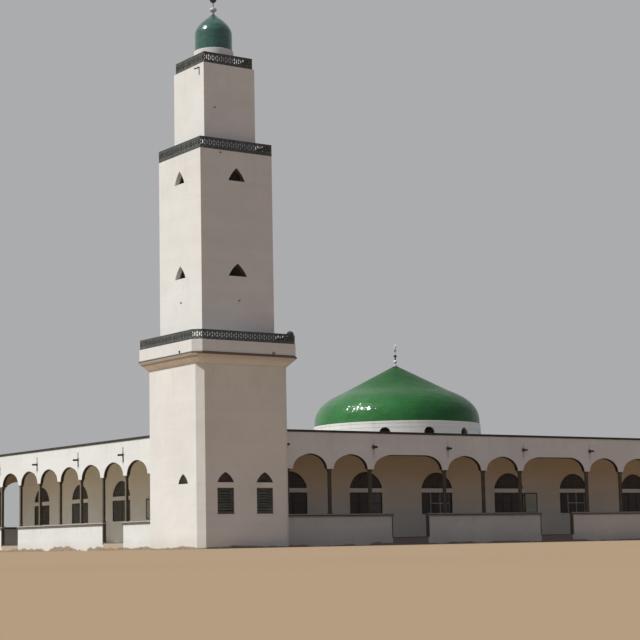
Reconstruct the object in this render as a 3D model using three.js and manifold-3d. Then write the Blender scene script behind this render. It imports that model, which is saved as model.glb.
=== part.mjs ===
// A single-storey mosque with an arcaded gallery on four sides, a shallow dome over the prayer
// hall and a square stepped minaret on its south-west corner, as a 1:2 scale model.
// Every dimension below is in metres of the full-size building. The finished group is scaled to
// millimetres of the 1:2 model, with +Z up. Plan axes while building: the minaret's centre is
// the plan origin, +X runs along the south front, +Y along the west front.
import * as THREE from 'three';
import { mergeVertices, mergeGeometries } from 'three/addons/utils/BufferGeometryUtils.js';
import Module from 'manifold-3d';

const wasm = await Module();
wasm.setup();

// ---------------------------------------------------------------- driving dimensions
const MM = 500;              // model millimetres for one metre of the real building
const G = 0.0008;            // clearance between neighbouring pieces (0.4 mm in the model)

const XW = -0.93, XE = 45.90;      // outer faces of the west and east arcades
const YS = -0.99, YN = 32.40;      // outer faces of the south and north arcades
const HX0 = 2.87, HX1 = 42.10;     // outer faces of the hall's west and east walls
const HY0 = 2.81, HY1 = 28.60;     // outer faces of the hall's south and north walls
const T_HALL = 0.25;               // hall wall thickness
const T_ARC = 0.16;                // thickness of the arcade panels and columns
const T_BAL = 0.16;               // balustrade wall thickness

const Z_FLOOR = 0.40;              // gallery and hall floor
const Z_SPRING = 3.76;             // bottom of the arch panels, top of the columns
const Z_APEX = 4.463;              // crown of the arches
const Z_ROOF0 = 4.95, Z_ROOF1 = 5.15;
const Z_PARAPET = 5.545, Z_COPING = 5.652;
const Z_BAL_S = 1.575, Z_BAL_W = 1.44;   // top of the gallery balustrades
const H_CAP = 0.13, CAP = 0.05;    // height and outward overhang of the balustrades' own coping
const COL = 0.18;                  // column width
const SPRING = 0.44;               // width of an arch panel's foot between two arches

// column centres of the south front (N = narrow bay, W = wide bay: N N W N N W ...)
const S_COLS = [5.77, 8.22, 12.93, 15.51, 18.03, 22.80, 25.32, 27.84, 32.61, 35.13, 37.65, 42.42, 44.94];
const W_COLS = [5.10, 7.66, 10.20, 12.75, 15.30, 17.85, 20.40, 22.95, 25.50, 28.05, 30.60];
const WIDE_BAYS = [[8.22, 12.93], [18.03, 22.80], [27.84, 32.61], [37.65, 42.42]];
const SIDE_GAPS = [[7.66, 10.20], [20.40, 22.95]];
const GATE = 1.12;                 // half-width of the way through a wide bay's balustrade

const S_WIN = [5.90, 10.665, 15.37, 20.44, 25.26, 30.02, 34.83, 39.64];   // hall window centres
const W_WIN = [5.07, 10.19, 15.31, 20.43, 25.56];
const WIN_HALF = 1.05, WIN_SILL = 1.60, WIN_BAND0 = 2.75, WIN_BAND1 = 2.975, WIN_APEX = 3.83;
const DOOR_HALF = 0.95, DOOR_TOP = 2.78;

const DCX = 22.485, DCY = 15.705;  // centre of the main dome
const R_DRUM = 5.21, R_DRUM_IN = 4.95, Z_DRUM = 7.34;

const TB = 2.5, TB_C = 0.309, TB_T = 0.30, Z_TB = 8.487;        // minaret base
const TL = 2.905, TL_C = 0.37, Z_TL = 8.905;                    // ledge at the head of the flare
const TC = 2.865, TC_C = 0.366, Z_TC0 = 8.985, Z_TC = 9.556;    // cornice
const TF = 2.837, Z_TF = 10.02;                                 // cornice claustra
const TM = 1.997, TM_T = 0.25, Z_TM = 18.77, Z_TMF = 19.32;     // shaft and its claustra
const TU = 1.433, TU_T = 0.22, Z_TU = 23.13;                    // lantern
const TG = 1.36, Z_TUF = 23.68;                                 // lantern claustra
const R_CD = 0.97, Z_CD = 24.139;                               // cupola drum

// ---------------------------------------------------------------- helpers
const V2 = (x, y) => new THREE.Vector2(x, y);

function closedGeometry(geometry) {
  const g = geometry.clone();
  g.deleteAttribute('normal');
  g.deleteAttribute('uv');
  const merged = mergeVertices(g, 1e-5);
  // a lathe's quads shrink to triangles on its axis: the empty halves go
  const index = merged.index.array, pos = merged.attributes.position.array;
  const kept = [];
  let volume = 0;
  for (let i = 0; i < index.length; i += 3) {
    const [a, b, c] = [index[i], index[i + 1], index[i + 2]];
    if (a === b || b === c || a === c) continue;
    kept.push(a, b, c);
    const A = pos.subarray(3 * a, 3 * a + 3), B = pos.subarray(3 * b, 3 * b + 3), C = pos.subarray(3 * c, 3 * c + 3);
    volume += A[0] * (B[1] * C[2] - B[2] * C[1]) + A[1] * (B[2] * C[0] - B[0] * C[2]) + A[2] * (B[0] * C[1] - B[1] * C[0]);
  }
  if (volume < 0) for (let i = 0; i < kept.length; i += 3) [kept[i + 1], kept[i + 2]] = [kept[i + 2], kept[i + 1]];
  merged.setIndex(kept);
  return merged;
}

function toSolid(geometry) {
  const g = closedGeometry(geometry);
  const index = g.index.array;
  const mesh = new wasm.Mesh({
    numProp: 3,
    vertProperties: new Float32Array(g.attributes.position.array),
    triVerts: new Uint32Array(index),
  });
  mesh.merge();
  return new wasm.Manifold(mesh);
}

function fromSolid(solid) {
  const mesh = solid.getMesh();
  const g = new THREE.BufferGeometry();
  const n = mesh.vertProperties.length / mesh.numProp;
  const position = new Float32Array(n * 3);
  for (let i = 0; i < n; i++) {
    for (let k = 0; k < 3; k++) position[3 * i + k] = mesh.vertProperties[i * mesh.numProp + k];
  }
  g.setAttribute('position', new THREE.BufferAttribute(position, 3));
  g.setIndex(new THREE.BufferAttribute(new Uint32Array(mesh.triVerts), 1));
  return g;
}

function box(x0, x1, y0, y1, z0, z1) {
  const g = new THREE.BoxGeometry(x1 - x0, y1 - y0, z1 - z0);
  g.translate((x0 + x1) / 2, (y0 + y1) / 2, (z0 + z1) / 2);
  return g;
}

// an outline in the X-Z plane, given real thickness from y0 to y1
function extrudeXZ(shape, y0, y1, curveSegments = 8) {
  const g = new THREE.ExtrudeGeometry(shape, { depth: y1 - y0, bevelEnabled: false, curveSegments });
  g.rotateX(Math.PI / 2);          // (x, y, z) becomes (x, -z, y)
  g.translate(0, y1, 0);
  return g;
}

// an outline in the Y-Z plane, given real thickness from x0 to x1
function extrudeYZ(shape, x0, x1, curveSegments = 8) {
  const g = extrudeXZ(shape, -x1, -x0, curveSegments);
  g.rotateZ(Math.PI / 2);          // (x, y, z) becomes (-y, x, z)
  return g;
}

function extrudeXY(shape, z0, z1, curveSegments = 8) {
  const g = new THREE.ExtrudeGeometry(shape, { depth: z1 - z0, bevelEnabled: false, curveSegments });
  g.translate(0, 0, z0);
  return g;
}

function polygon(points) {
  const s = new THREE.Shape();
  s.moveTo(points[0][0], points[0][1]);
  for (const p of points.slice(1)) s.lineTo(p[0], p[1]);
  s.closePath();
  return s;
}

function subtractAll(geometry, cutters) {
  let solid = toSolid(geometry);
  for (const c of cutters) solid = solid.subtract(toSolid(c));
  return fromSolid(solid);
}

function addAll(geometry, others) {
  let solid = toSolid(geometry);
  for (const o of others) solid = solid.add(toSolid(o));
  return fromSolid(solid);
}

// ---------------------------------------------------------------- arcades
// Points along an arch's underside from its right foot to its left foot: a half-ellipse, or, on
// a wide bay, a level soffit between two quarter-ellipses.
function archPoints(a, b, steps) {
  const left = a + SPRING / 2, right = b - SPRING / 2;
  const rx = Math.min(1.04, (right - left) / 2), rz = Z_APEX - Z_SPRING;
  const pts = [];
  for (let i = 0; i <= steps / 2; i++) {
    const t = (i / (steps / 2)) * Math.PI / 2;
    pts.push([right - rx + rx * Math.cos(t), Z_SPRING + rz * Math.sin(t)]);
  }
  const flat = (right - rx) - (left + rx) > 0.01;
  for (let i = flat ? 0 : 1; i <= steps / 2; i++) {
    const t = Math.PI / 2 + (i / (steps / 2)) * Math.PI / 2;
    pts.push([left + rx + rx * Math.cos(t), Z_SPRING + rz * Math.sin(t)]);
  }
  return pts;
}

// One side's arcade as an outline: parapet on top, arches below, and slender columns standing
// on the balustrade. start and end are solid piers: [from, to] along the side, and a third number
// in start is where the first arch springs.
function arcadeShape(start, end, columns, balTop) {
  const feet = balTop + G;
  const pts = [];
  pts.push([start[0], Z_PARAPET - G]);
  pts.push([start[0], feet]);
  pts.push([start[1], feet]);
  pts.push([start[1], Z_SPRING]);
  const first = start[2] ?? start[1] + (SPRING - COL) / 2;
  pts.push([first, Z_SPRING]);
  const centres = [first - SPRING / 2, ...columns, end[0] - (SPRING - COL) / 2 + SPRING / 2];
  for (let i = 0; i + 1 < centres.length; i++) {
    const arc = archPoints(centres[i], centres[i + 1], 12).reverse();
    if (i === 0) arc.shift();
    pts.push(...arc);
    if (i + 2 < centres.length) {
      const c = centres[i + 1];
      pts.push([c - COL / 2, Z_SPRING], [c - COL / 2, feet], [c + COL / 2, feet], [c + COL / 2, Z_SPRING]);
    }
  }
  pts.push([end[0], Z_SPRING], [end[0], feet], [end[1], feet], [end[1], Z_PARAPET - G]);
  return polygon(pts);
}

const Y_BUTT = YS + T_ARC + G;   // the west and east arcades butt against the inside of the fronts
const southArcade = extrudeXZ(
  arcadeShape([TB + G, 3.27, 3.59], [44.94 - COL / 2, XE], S_COLS.slice(0, -1), Z_BAL_S), YS, YS + T_ARC);
const northArcade = extrudeXZ(
  arcadeShape([XW, 0.77], [44.94 - COL / 2, XE], [3.18, ...S_COLS.slice(0, -1)], Z_BAL_S), YN - T_ARC, YN);
const westArcade = extrudeYZ(
  arcadeShape([TB + G, 2.76, 2.875], [30.60 - COL / 2, YN - T_ARC - G], W_COLS.slice(0, -1), Z_BAL_W), XW, XW + T_ARC);
const eastArcade = extrudeYZ(
  arcadeShape([Y_BUTT, 0.10], [30.60 - COL / 2, YN - T_ARC - G], [2.55, ...W_COLS.slice(0, -1)], Z_BAL_W), XE - T_ARC, XE);

// ---------------------------------------------------------------- galleries: floor and balustrades
function segments(from, to, gaps) {
  const out = [];
  let a = from;
  for (const g of gaps) { out.push([a, g[0]]); a = g[1]; }
  out.push([a, to]);
  return out;
}
const frontGates = WIDE_BAYS.map(([a, b]) => [(a + b) / 2 + 0.06 - GATE, (a + b) / 2 + 0.06 + GATE]);
// on the sides the balustrade runs a little past the column at the south end of each way through
const sideGates = SIDE_GAPS.map(([a, b]) => [a + COL / 2 + 0.15, b - COL / 2]);

// A balustrade's wall and its coping, which stands proud of the outer face and of the gates' sides.
// u0 and u1 are the ends of the whole side, where the coping doesn't run on.
function balustrade(put, u0, u1, gaps, top, free0 = false, free1 = false) {
  return segments(u0, u1, gaps).flatMap(([a, b]) => [
    put(a, b, 0, T_BAL, Z_FLOOR / 2, top),
    put(a === u0 && !free0 ? a : a - CAP, b === u1 && !free1 ? b : b + CAP, -CAP, T_BAL, top - H_CAP, top)]);
}
const onSouth = (a, b, d0, d1, z0, z1) => box(a, b, YS + d0, YS + d1, z0, z1);
const onNorth = (a, b, d0, d1, z0, z1) => box(a, b, YN - d1, YN - d0, z0, z1);
const onWest = (a, b, d0, d1, z0, z1) => box(XW + d0, XW + d1, a, b, z0, z1);
const onEast = (a, b, d0, d1, z0, z1) => box(XE - d1, XE - d0, a, b, z0, z1);

const southGallery = addAll(
  box(TB + G, XE, YS, HY0 - G, 0, Z_FLOOR), balustrade(onSouth, TB + G, XE, frontGates, Z_BAL_S, false, true));
const westGallery = addAll(
  extrudeXY(polygon([[XW, TB + G], [TB, TB + G], [TB, HY0], [HX0 - G, HY0], [HX0 - G, YN], [XW, YN]]), 0, Z_FLOOR),
  balustrade(onWest, TB + G, YN - T_BAL + 0.01, sideGates, Z_BAL_W));
const northGallery = addAll(
  box(HX0, XE, HY1 + G, YN, 0, Z_FLOOR), balustrade(onNorth, HX0, XE, frontGates, Z_BAL_S, false, true));
// the west gallery takes the north balustrade's end as far as the hall's corner
const westGalleryWhole = addAll(westGallery, balustrade(onNorth, XW, HX0 - G, [], Z_BAL_S, true, false));
const eastGallery = addAll(
  box(HX1 + G, XE, HY0, HY1, 0, Z_FLOOR), balustrade(onEast, HY0, HY1, sideGates, Z_BAL_W));
// the two ends of the east balustrade stand on the south and north gallery floors
const southGalleryWhole = addAll(southGallery, balustrade(onEast, YS + 0.01, HY0 - G, [], Z_BAL_W));
const northGalleryWhole = addAll(northGallery, balustrade(onEast, HY1 + G, YN - 0.01, [], Z_BAL_W));

const hallFloor = box(HX0, HX1, HY0, HY1, 0, Z_FLOOR);

// ---------------------------------------------------------------- hall walls
// Each window is a rectangular light under a plain band, and above the band an arched light.
function windowHoles(c) {
  const rect = new THREE.Shape();
  rect.moveTo(c - WIN_HALF, WIN_SILL);
  rect.lineTo(c + WIN_HALF, WIN_SILL);
  rect.lineTo(c + WIN_HALF, WIN_BAND0);
  rect.lineTo(c - WIN_HALF, WIN_BAND0);
  rect.closePath();
  const head = new THREE.Shape();
  const rise = WIN_APEX - WIN_BAND1;
  const R = (WIN_HALF * WIN_HALF + rise * rise) / (2 * rise);
  const zc = WIN_APEX - R;
  const t0 = Math.asin((WIN_BAND1 - zc) / R);
  const n = 12;
  for (let i = 0; i <= n; i++) {
    const t = t0 + (Math.PI - 2 * t0) * i / n;
    const p = [c + R * Math.cos(t), zc + R * Math.sin(t)];
    if (i === 0) head.moveTo(p[0], p[1]); else head.lineTo(p[0], p[1]);
  }
  head.closePath();
  return [rect, head];
}

function hallWallShape(a, b, doorAt) {
  const z0 = Z_FLOOR + G, z1 = Z_ROOF0 - G;
  const pts = [[a, z0]];
  if (doorAt !== null) {
    pts.push([doorAt - DOOR_HALF, z0], [doorAt - DOOR_HALF, DOOR_TOP], [doorAt + DOOR_HALF, DOOR_TOP], [doorAt + DOOR_HALF, z0]);
  }
  pts.push([b, z0], [b, z1], [a, z1]);
  return polygon(pts);
}
function hallWall(extrude, a, b, windows, doorAt, d0, d1) {
  return subtractAll(extrude(hallWallShape(a, b, doorAt), d0, d1),
    windows.flatMap((w) => windowHoles(w)).map((h) => extrude(h, d0 - 1, d1 + 1)));
}
const hallSouth = hallWall(extrudeXZ, HX0, HX1, S_WIN, null, HY0, HY0 + T_HALL);
const hallNorth = hallWall(extrudeXZ, HX0, HX1, S_WIN, (S_WIN[3] + S_WIN[4]) / 2, HY1 - T_HALL, HY1);
const hallWest = hallWall(extrudeYZ, HY0 + T_HALL + G, HY1 - T_HALL - G, W_WIN, null, HX0, HX0 + T_HALL);
const hallEast = hallWall(extrudeYZ, HY0 + T_HALL + G, HY1 - T_HALL - G, W_WIN, (W_WIN[1] + W_WIN[2]) / 2, HX1 - T_HALL, HX1);

// one sheet of glass behind each wall's windows
const GT = 0.03, gz0 = WIN_SILL - 0.08, gz1 = WIN_APEX + 0.08;
const inS = HY0 + T_HALL + G, inN = HY1 - T_HALL - G, inW = HX0 + T_HALL + G, inE = HX1 - T_HALL - G;
const glassSouth = box(S_WIN[0] - 1.15, S_WIN[7] + 1.15, inS, inS + GT, gz0, gz1);
// the north and east sheets are cut out round the doorways between two windows
const glassNorth = subtractAll(box(S_WIN[0] - 1.15, S_WIN[7] + 1.15, inN - GT, inN, gz0, gz1),
  [box((S_WIN[3] + S_WIN[4]) / 2 - DOOR_HALF - 0.05, (S_WIN[3] + S_WIN[4]) / 2 + DOOR_HALF + 0.05, inN - 1, inN + 1, gz0 - 1, DOOR_TOP + 0.05)]);
const glassWest = box(inW, inW + GT, W_WIN[0] - 1.15, W_WIN[4] + 1.15, gz0, gz1);
const glassEast = subtractAll(box(inE - GT, inE, W_WIN[0] - 1.15, W_WIN[4] + 1.15, gz0, gz1),
  [box(inE - 1, inE + 1, (W_WIN[1] + W_WIN[2]) / 2 - DOOR_HALF - 0.05, (W_WIN[1] + W_WIN[2]) / 2 + DOOR_HALF + 0.05, gz0 - 1, DOOR_TOP + 0.05)]);

// ---------------------------------------------------------------- roof, parapet coping, main dome
function circlePath(cx, cy, r, n) {
  const p = new THREE.Path();
  for (let i = 0; i < n; i++) {
    const t = 2 * Math.PI * i / n;
    if (i === 0) p.moveTo(cx + r, cy); else p.lineTo(cx + r * Math.cos(t), cy + r * Math.sin(t));
  }
  p.closePath();
  return p;
}
const inner = { x0: XW + T_ARC + G, x1: XE - T_ARC - G, y0: YS + T_ARC + G, y1: YN - T_ARC - G };
const roofShape = polygon([
  [TB + G, inner.y0], [inner.x1, inner.y0], [inner.x1, inner.y1], [inner.x0, inner.y1],
  [inner.x0, TB + G], [TB + G, TB + G]]);
roofShape.holes.push(circlePath(DCX, DCY, R_DRUM_IN, 48));
const roofSlab = extrudeXY(roofShape, Z_ROOF0, Z_ROOF1);

const CO = 0.05, CI = T_ARC + 0.03;     // coping overhang outside, and its inner edge
const copingShape = polygon([
  [TB + G, YS - CO], [XE + CO, YS - CO], [XE + CO, YN + CO], [XW - CO, YN + CO], [XW - CO, TB + G],
  [XW + CI, TB + G], [XW + CI, YN - CI], [XE - CI, YN - CI], [XE - CI, YS + CI], [TB + G, YS + CI]]);
const parapetCoping = extrudeXY(copingShape, Z_PARAPET, Z_COPING);

function lathe(profile, segmentsRound) {
  const g = new THREE.LatheGeometry(profile.map(([r, z]) => V2(r, z)), segmentsRound);
  g.rotateX(Math.PI / 2);               // the lathe's own +Y axis becomes +Z
  return closedGeometry(g);
}
// drum: a plain cylinder, as wide as the dome on it, with four small arched lights to the south and
// four to the north
function drumSolid() {
  const ring = lathe([
    [R_DRUM_IN, Z_ROOF1 + G], [R_DRUM, Z_ROOF1 + G], [R_DRUM, Z_DRUM], [R_DRUM_IN, Z_DRUM],
    [R_DRUM_IN, Z_ROOF1 + G]], 60);
  const s = new THREE.Shape();
  const hw = 0.34, z0 = 6.28, zs = 6.63;
  s.moveTo(-hw, z0);
  s.lineTo(hw, z0);
  for (let i = 0; i <= 8; i++) {
    const t = Math.PI * i / 8;
    s.lineTo(hw * Math.cos(t), zs + hw * Math.sin(t));
  }
  s.closePath();
  const cutters = [];
  for (const degrees of [-45, -15, 15, 45, 135, 165, 195, 225]) {
    const c = extrudeXZ(s, -5.6, -4.4);
    c.rotateZ(degrees * Math.PI / 180);
    cutters.push(c);
  }
  const g = subtractAll(ring, cutters);
  g.translate(DCX, DCY, 0);
  return g;
}
const domeDrum = drumSolid();

// outer line of the shallow pointed dome, from its rim to the small flat under the finial
const DOME = [[5.175, 7.341], [5.17, 7.60], [5.14, 7.85], [5.07, 8.10], [4.955, 8.33], [4.77, 8.58], [4.42, 8.90],
  [3.94, 9.19], [3.32, 9.47], [2.47, 9.90], [1.64, 10.33], [0.90, 10.71], [0.10, 11.12]];
function shellProfile(outer, t) {
  // the inner line follows the outer one at a constant thickness
  const inner2 = [];
  for (let i = 0; i < outer.length; i++) {
    const a = outer[Math.max(0, i - 1)], b = outer[Math.min(outer.length - 1, i + 1)];
    const dx = b[0] - a[0], dz = b[1] - a[1], L = Math.hypot(dx, dz);
    let r = outer[i][0] - t * dz / L, z = outer[i][1] + t * dx / L;
    if (i === 0) z = outer[0][1];
    inner2.push([Math.max(r, 0), z]);
  }
  inner2[inner2.length - 1] = [0, outer[outer.length - 1][1] - t];
  return inner2;
}
function domeShell(outer, t, n) {
  const inside = shellProfile(outer, t).filter((p, i, all) => i === all.length - 1 || p[0] > 0.02);
  const top = outer[outer.length - 1];
  const profile = [...outer, [0, top[1]], ...inside.slice().reverse()];
  // the profile starts on the rim, rises outside to the axis, and comes down inside to the rim again
  const closed = [...profile, outer[0]];
  return lathe(closed, n);
}
const mainDome = domeShell(DOME, 0.14, 60);
mainDome.translate(DCX, DCY, 0);

function crescentShape(cx, cz, R, r, shift, n = 14) {
  // a thin crescent whose horns point up, fatter at its foot: the space between a circle and a
  // smaller, higher one, cut where the two circles cross
  const y = (R * R - r * r + shift * shift) / (2 * shift), x = Math.sqrt(R * R - y * y);
  const outer0 = Math.atan2(y, -x), inner0 = Math.atan2(y - shift, -x);
  const outerSpan = 2 * Math.PI - 2 * (outer0 - Math.PI / 2), innerSpan = 2 * Math.PI - 2 * (inner0 - Math.PI / 2);
  const pts = [];
  for (let i = 0; i <= n; i++) {
    const t = outer0 + outerSpan * i / n;
    pts.push([cx + R * Math.cos(t), cz + R * Math.sin(t)]);
  }
  for (let i = n - 1; i >= 1; i--) {
    const t = inner0 + innerSpan * i / n;
    pts.push([cx + r * Math.cos(t), cz + shift + r * Math.sin(t)]);
  }
  return polygon(pts);
}
// main finial: a slender rod through three balls, with a small crescent on top
function finial(profile, z0, crescent, n) {
  const rod = lathe([[0, z0], ...profile], n);
  const c = extrudeXZ(crescentShape(0, crescent.z, crescent.R, crescent.r, crescent.shift), -crescent.t / 2, crescent.t / 2);
  return addAll(rod, [c]);
}
const domeFinial = finial([
  [0.10, 11.1208], [0.07, 11.20], [0.035, 11.26], [0.035, 11.28], [0.09, 11.32], [0.125, 11.39], [0.09, 11.46], [0.035, 11.50],
  [0.03, 11.68], [0.075, 11.72], [0.10, 11.775], [0.075, 11.83], [0.03, 11.87], [0.03, 12.07],
  [0.06, 12.09], [0.075, 12.13], [0.06, 12.17], [0.025, 12.19], [0.025, 12.36], [0, 12.36]],
  11.1208, { z: 12.44, R: 0.125, r: 0.10, shift: 0.03, t: 0.035 }, 12);
domeFinial.translate(DCX, DCY, 0);

// ---------------------------------------------------------------- minaret
// a square with cut corners
function cutSquare(h, c) {
  return c > 0
    ? [[h - c, -h], [h, -h + c], [h, h - c], [h - c, h], [-h + c, h], [-h, h - c], [-h, -h + c], [-h + c, -h]]
    : [[h, -h], [h, h], [-h, h], [-h, -h]];
}
function prism(h, c, z0, z1) { return extrudeXY(polygon(cutSquare(h, c)), z0, z1); }
function frustum(rings) {
  // rings: [half width, cut, height], bottom to top, each with the same number of corners
  const n = cutSquare(rings[0][0], rings[0][1]).length;
  const pos = [];
  const idx = [];
  rings.forEach(([h, c, z]) => cutSquare(h, c).forEach(([x, y]) => pos.push(x, y, z)));
  for (let k = 0; k + 1 < rings.length; k++) {
    for (let i = 0; i < n; i++) {
      const j = (i + 1) % n, a = k * n + i, b = k * n + j, c = (k + 1) * n + j, d = (k + 1) * n + i;
      idx.push(a, b, c, a, c, d);
    }
  }
  const last = (rings.length - 1) * n;
  for (let i = 1; i + 1 < n; i++) {
    idx.push(0, i + 1, i);
    idx.push(last, last + i, last + i + 1);
  }
  const g = new THREE.BufferGeometry();
  g.setAttribute('position', new THREE.BufferAttribute(new Float32Array(pos), 3));
  g.setIndex(idx);
  return g;
}

// a light with two slightly bulging sides that meet in a point over a level sill
function pointedLight(c, w, z0, z1, swell) {
  const s = new THREE.Shape();
  s.moveTo(c - w / 2, z0);
  s.lineTo(c + w / 2, z0);
  const n = 4;
  for (let side = 0; side < 2; side++) {
    for (let i = 1; i <= n; i++) {
      const t = i / n;
      if (side === 1 && i === n) break;
      const a = side === 0 ? [c + w / 2, z0] : [c, z1], b = side === 0 ? [c, z1] : [c - w / 2, z0];
      const nx = (b[1] - a[1]), nz = -(b[0] - a[0]), L = Math.hypot(nx, nz);
      const k = 4 * t * (1 - t) * swell * w;
      s.lineTo(a[0] + (b[0] - a[0]) * t + nx / L * k, a[1] + (b[1] - a[1]) * t + nz / L * k);
    }
  }
  s.closePath();
  return s;
}
function rectShape(a, b, z0, z1) { return polygon([[a, z0], [b, z0], [b, z1], [a, z1]]); }

const L1 = [-1.115, 0.90], L2 = [1.015, 0.90];       // centre and width of the base's two louvred openings
const LZ0 = 1.57, LZ1 = 2.77;
// centre, width, foot and point of the base's pointed lights: two over the louvres, one to the west
const P1 = [L1[0], 0.90, 3.02, 3.50], P2 = [L2[0], 0.92, 3.02, 3.50], P3 = [-0.975, 0.90, 2.99, 3.45];
const P_SWELL = 0.07, S_SWELL = 0.05;
const minaretBase = subtractAll(prism(TB, TB_C, 0, Z_TB), [
  prism(TB - TB_T, TB_C * 0.6, Z_FLOOR, Z_TB + 1),
  extrudeXZ(rectShape(L1[0] - L1[1] / 2, L1[0] + L1[1] / 2, LZ0, LZ1), -TB - 1, -TB + 1),
  extrudeXZ(rectShape(L2[0] - L2[1] / 2, L2[0] + L2[1] / 2, LZ0, LZ1), -TB - 1, -TB + 1),
  extrudeXZ(pointedLight(...P1, P_SWELL), -TB - 1, -TB + 1),
  extrudeXZ(pointedLight(...P2, P_SWELL), -TB - 1, -TB + 1),
  extrudeYZ(pointedLight(...P3, P_SWELL), -TB - 1, -TB + 1),
  // doorway from the south gallery
  extrudeYZ(rectShape(0.55, 1.55, Z_FLOOR, 2.45), TB - 1, TB + 1),
]);
// a thin plate a little behind the wall's face fills each of the three
function lightPlate(extrude, [c, w, z0, z1]) {
  return extrude(pointedLight(c, w - 6 * G, z0 + G, z1 - 3 * G, P_SWELL), -TB + 0.03, -TB + 0.08);
}
const lightWest = lightPlate(extrudeXZ, P1), lightEast = lightPlate(extrudeXZ, P2), lightSide = lightPlate(extrudeYZ, P3);
const louvreWest = box(L1[0] - L1[1] / 2 + G, L1[0] + L1[1] / 2 - G, -TB + 0.06, -TB + 0.12, LZ0 + G, LZ1 - G);
const louvreEast = box(L2[0] - L2[1] / 2 + G, L2[0] + L2[1] / 2 - G, -TB + 0.06, -TB + 0.12, LZ0 + G, LZ1 - G);

const minaretCornice = subtractAll(
  frustum([[TB, TB_C, Z_TB + G], [TL, TL_C, Z_TL], [TL, TL_C, Z_TC0], [TC, TC_C, Z_TC0], [TC, TC_C, Z_TC]]),
  [prism(TM - TM_T, 0, Z_TB - 1, Z_TC + 1)]);
function ringPrism(h, c, t, z0, z1) {
  return subtractAll(prism(h, c, z0, z1), [prism(h - t, c * 0.8, z0 - 1, z1 + 1)]);
}
const corniceClaustra = ringPrism(TF, 0.36, 0.12, Z_TC + G, Z_TF);

const shaftLights = [[13.36, 12.75, 1.0], [17.97, 17.34, 0.92]];
const shaftCuts = [prism(TM - TM_T, 0, Z_TC - 1, Z_TM - 0.18), prism(1.15, 0, Z_TM - 1, Z_TM + 1)];
for (const [z1, z0, w] of shaftLights) {
  shaftCuts.push(extrudeXZ(pointedLight(0, w, z0, z1, S_SWELL), -3, 3));
  shaftCuts.push(extrudeYZ(pointedLight(0, w, z0, z1, S_SWELL), -3, 3));
}
const minaretShaft = subtractAll(prism(TM, 0, Z_TC + G, Z_TM), shaftCuts);
const shaftClaustra = ringPrism(TM, 0, 0.12, Z_TM + G, Z_TMF);
const minaretLantern = subtractAll(prism(TU, 0, Z_TM + G, Z_TU), [
  prism(TU - TU_T, 0, Z_TM - 1, Z_TU - 0.16), prism(0.70, 0, Z_TU - 1, Z_TU + 1)]);
const lanternClaustra = ringPrism(TG, 0, 0.10, Z_TU + G, Z_TUF);

const cupolaDrum = lathe([[0.80, Z_TU + G], [R_CD, Z_TU + G], [R_CD, Z_CD], [0.80, Z_CD], [0.80, Z_TU + G]], 24);
const CUPOLA = [[0.915, Z_CD + G], [0.915, 24.98], [0.895, 25.14], [0.82, 25.32], [0.71, 25.48], [0.51, 25.69], [0.29, 25.87], [0.05, 26.08]];
const cupola = domeShell(CUPOLA, 0.06, 24);
const cupolaFinial = finial([
  [0.05, 26.0808], [0.05, 26.10], [0.04, 26.15], [0.10, 26.17], [0.165, 26.23], [0.178, 26.30], [0.165, 26.37], [0.10, 26.43], [0.04, 26.45],
  [0.035, 26.62], [0.10, 26.67], [0.145, 26.74], [0.155, 26.81], [0.145, 26.88], [0.10, 26.95], [0.035, 27.0],
  [0.03, 27.12], [0.07, 27.15], [0.085, 27.20], [0.07, 27.25], [0.025, 27.28], [0.025, 27.42], [0, 27.42]],
  26.0808, { z: 27.54, R: 0.17, r: 0.14, shift: 0.045, t: 0.05 }, 12);

// ---------------------------------------------------------------- the group
const paint = (hex, roughness = 0.85, metalness = 0) => new THREE.MeshStandardMaterial({ color: hex, roughness, metalness });
const WHITE = 0xded9cf, GREEN = 0x3a4a44, DOMEGREEN = 0x3c8c46, SMALLGREEN = 0x4f7a64;
const CONCRETE = 0xa59f94, DARK = 0x2b2622, GLASS = 0x33302c, COLUMN = 0xcfcac0;

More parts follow.
